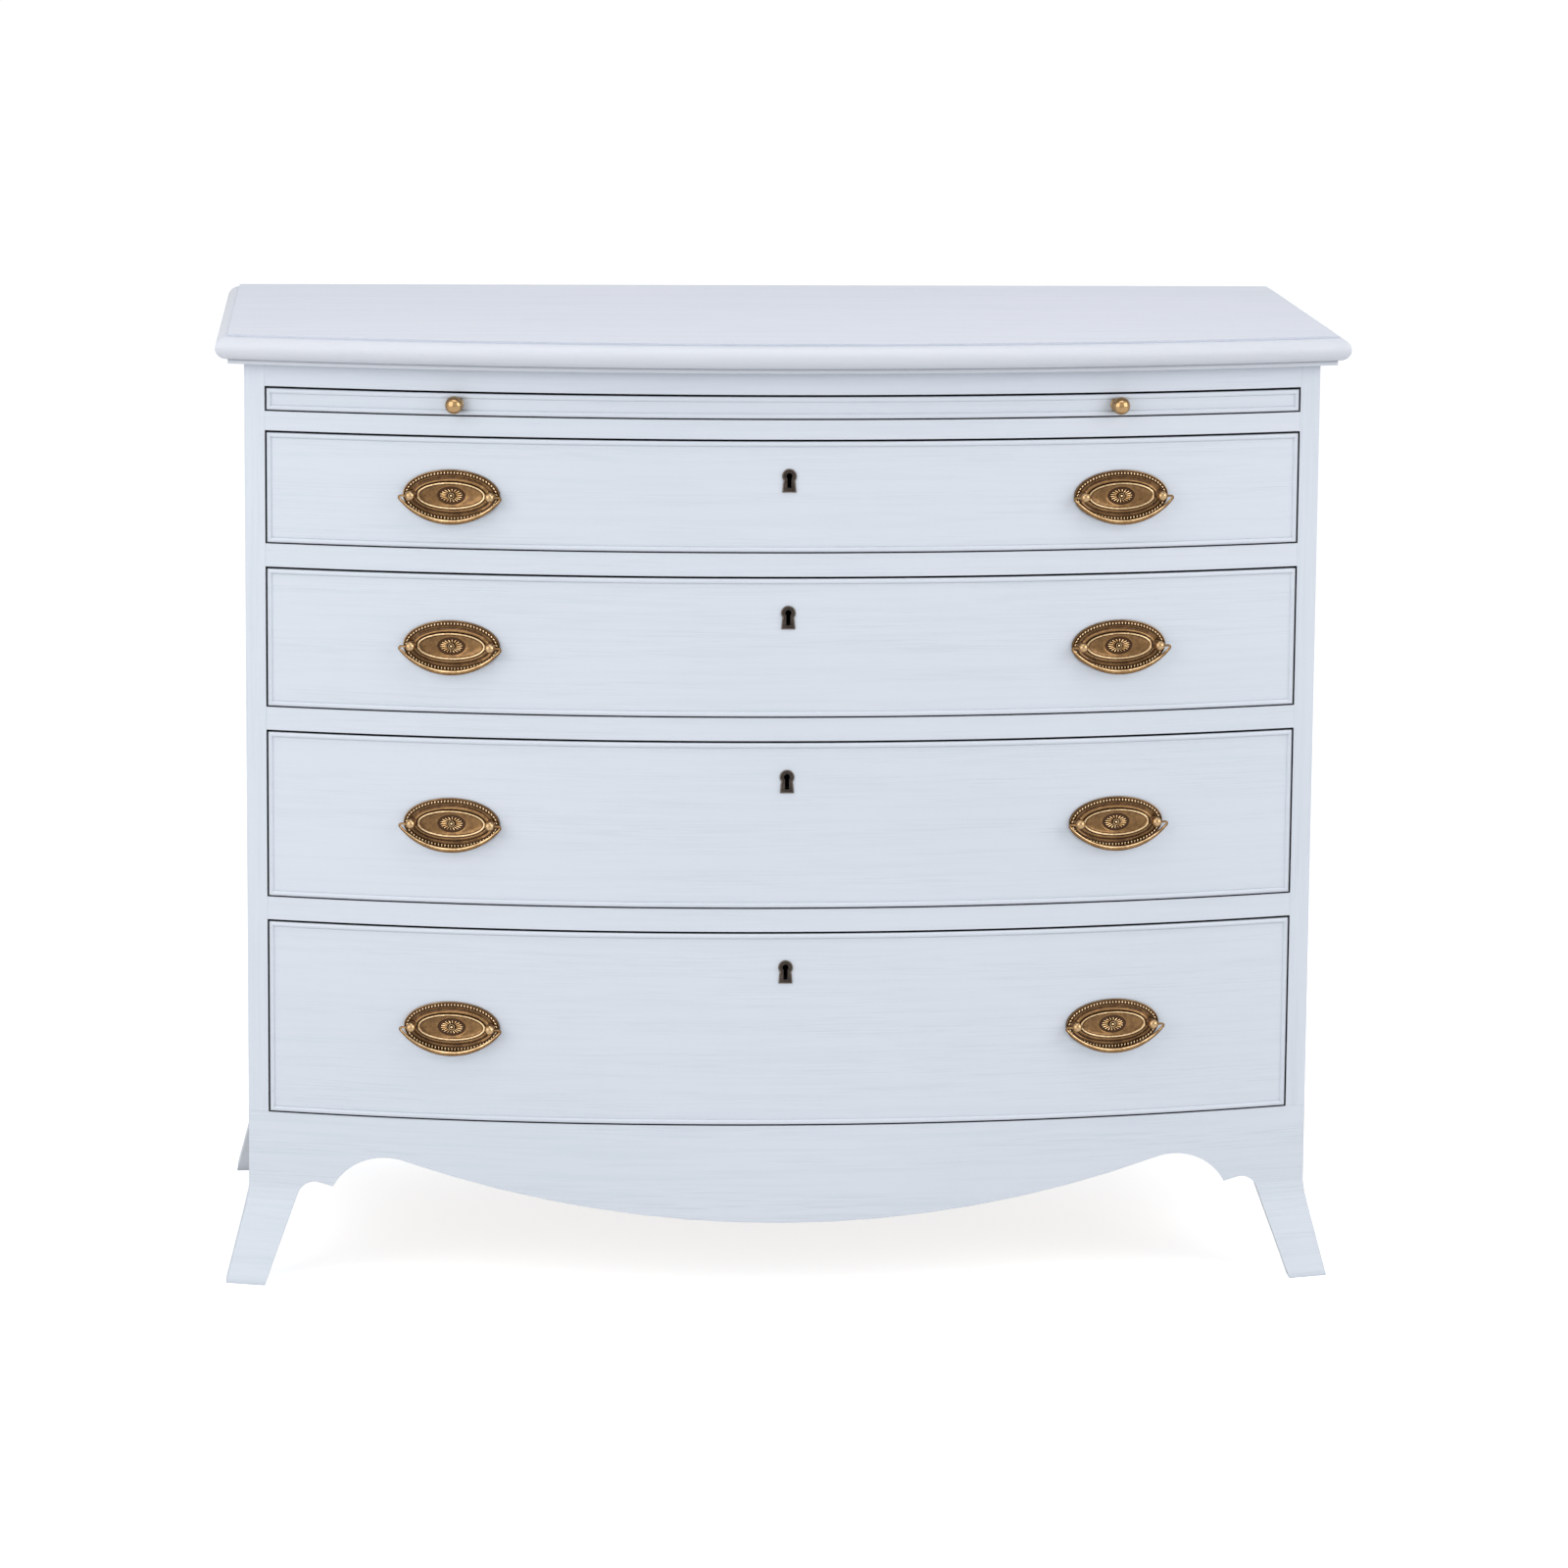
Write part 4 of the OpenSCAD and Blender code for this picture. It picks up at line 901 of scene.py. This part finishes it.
def make_escutcheons():
    """Puts an escutcheon round each keyhole."""
    mesh = escutcheon_mesh()
    for n in DRAWERS:
        drawer = "drawer_%d" % n
        _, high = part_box(drawer + "_front")
        spot = Matrix.Translation((0, FACE_Y * MM, high[Z] + (GAP_TOP - KEY_LOW) * MM))
        place_piece(drawer + "_escutcheon", mesh, spot, drawer, BRONZE, "antique_brass", drawer + "_brasses")


def make_knobs():
    """The slide's two ball knobs, each with a collar and a shank into the lipping."""
    skin = Skin()
    ball = ball_profile(KNOB_R, KNOB_OUT, KNOB_NECK_R, KNOB_BALL_STEPS)
    turned(skin, KNOB_FORM + [(radius, out, KNOB_BALL_WEAR) for radius, out in ball], KNOB_STEPS)
    mesh = skin.mesh("slide_knob")
    low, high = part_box("slide_front")
    middle = (low[Z] + high[Z]) / 2
    for side, x in (("left", -KNOB_X), ("right", KNOB_X)):
        turn = math.asin(x / BOW_R)
        face = FACE_Y + BOW_R * (1 - math.cos(turn))
        spot = Matrix.Translation((x * MM, face * MM, middle)) @ Matrix.Rotation(turn, 4, "Z")
        name = "slide_knob_%s" % side
        place_piece(name, mesh, spot, "brushing_slide", POLISHED, "polished_brass", "slide_knobs")


# ---------------------------------------------------------------- stage

# The floor's half size in metres, and how far it lies below the feet in millimetres
FLOOR_REACH = 60
FLOOR_DROP = 0.2
FLOOR_TONE = (0.80, 0.80, 0.80, 1)
# What lifts the floor to white: a faintly cool glow, to the camera and in reflections
FLOOR_GLOW = (0.97, 1.0, 1.03, 1)
GLOW_SEEN = 0.75
GLOW_MIRRORED = 0.5

# Strength of the even light all round, and how bright it is to the camera and in reflections
WORLD_LIGHT = 0.36
WORLD_SEEN = 1.0
WHITE = (1, 1, 1, 1)

# Soft boxes as (name, place, size in metres, watts), all turned towards one point
LAMPS = (
    ("lamp_left", (-2.2, -2.0, 1.6), 2.8, 46),
    ("lamp_right", (2.5, -1.7, 1.6), 2.3, 37),
    ("lamp_top", (0, -0.6, 3.2), 2.0, 23.5))
LAMP_AIM = (0, 0, 0.45)


def make_floor():
    """A pale floor that shows white to the camera but keeps the chest's shadow."""
    near, far = -FLOOR_REACH, FLOOR_REACH
    mesh = bpy.data.meshes.new("floor")
    mesh.from_pydata([(near, near, 0), (far, near, 0), (far, far, 0), (near, far, 0)], [], [(0, 1, 2, 3)])
    floor = bpy.data.objects.new("floor", mesh)
    floor.location.z = -FLOOR_DROP * MM
    bpy.context.scene.collection.objects.link(floor)
    material, g = new_material("floor")
    path = g.add("ShaderNodeLightPath").outputs
    mirrored = g.math("ADD", path["Is Glossy Ray"], path["Is Transmission Ray"])
    seen = g.math("MULTIPLY", path["Is Camera Ray"], GLOW_SEEN)
    glow = g.math("ADD", seen, g.math("MULTIPLY", mirrored, GLOW_MIRRORED))
    plain = g.add("ShaderNodeBsdfDiffuse", {"Color": FLOOR_TONE}).outputs[0]
    lift = g.add("ShaderNodeEmission", {"Color": FLOOR_GLOW, "Strength": glow}).outputs[0]
    both = g.add("ShaderNodeAddShader", {0: plain, 1: lift}).outputs[0]
    g.add("ShaderNodeOutputMaterial", {"Surface": both})
    mesh.materials.append(material)


def make_world():
    """An even light all round, which looks brighter than it lights."""
    world = bpy.data.worlds.new("world")
    bpy.context.scene.world = world
    world.use_nodes = True
    g = Graph(world.node_tree)
    path = g.add("ShaderNodeLightPath").outputs
    mirrored = g.math("ADD", path["Is Glossy Ray"], path["Is Transmission Ray"])
    seen = g.math("ADD", path["Is Camera Ray"], mirrored, clamp=True)
    level = g.spread(seen, 0.0, 1.0, WORLD_LIGHT, WORLD_SEEN)
    background = g.add("ShaderNodeBackground", {"Color": WHITE, "Strength": level})
    g.add("ShaderNodeOutputWorld", {"Surface": background.outputs[0]})


def make_lamps():
    """Two broad soft boxes in front, left and right, and a weaker one overhead."""
    for name, place, size, watts in LAMPS:
        data = bpy.data.lights.new(name, "AREA")
        data.shape = "SQUARE"
        data.size = size
        data.energy = watts
        lamp = bpy.data.objects.new(name, data)
        lamp.location = place
        lamp.rotation_euler = (Vector(LAMP_AIM) - Vector(place)).to_track_quat("-Z", "Y").to_euler()
        bpy.context.scene.collection.objects.link(lamp)


# ---------------------------------------------------------------- build

# Tones of the three brasses: grime, dark, middle and bright
ANTIQUE_TONES = (srgb(38, 23, 11), srgb(66, 43, 24), srgb(133, 100, 62), srgb(250, 218, 170))
BRONZE_TONES = (srgb(16, 13, 11), srgb(40, 33, 29), srgb(82, 72, 65), srgb(140, 128, 116))
POLISHED_TONES = (srgb(46, 30, 16), srgb(92, 64, 34), srgb(150, 112, 64), srgb(250, 222, 168))

STEEL = steel("lock_steel")
ANTIQUE = brass("antique_brass", ANTIQUE_TONES, gloss=(0.38, 0.18), mottle=0.45, lacquer=0.15)
BRONZE = brass("dark_bronze", BRONZE_TONES, gloss=(0.48, 0.34), mottle=0.45, lacquer=0.2)
POLISHED = brass("polished_brass", POLISHED_TONES, gloss=(0.30, 0.10), mottle=0.12, lacquer=0.5)

make_camera()
make_world()
make_floor()
make_lamps()
dress_cad_nodes()
make_handles()
make_escutcheons()
make_knobs()

bpy.context.scene.view_settings.view_transform = "Standard"
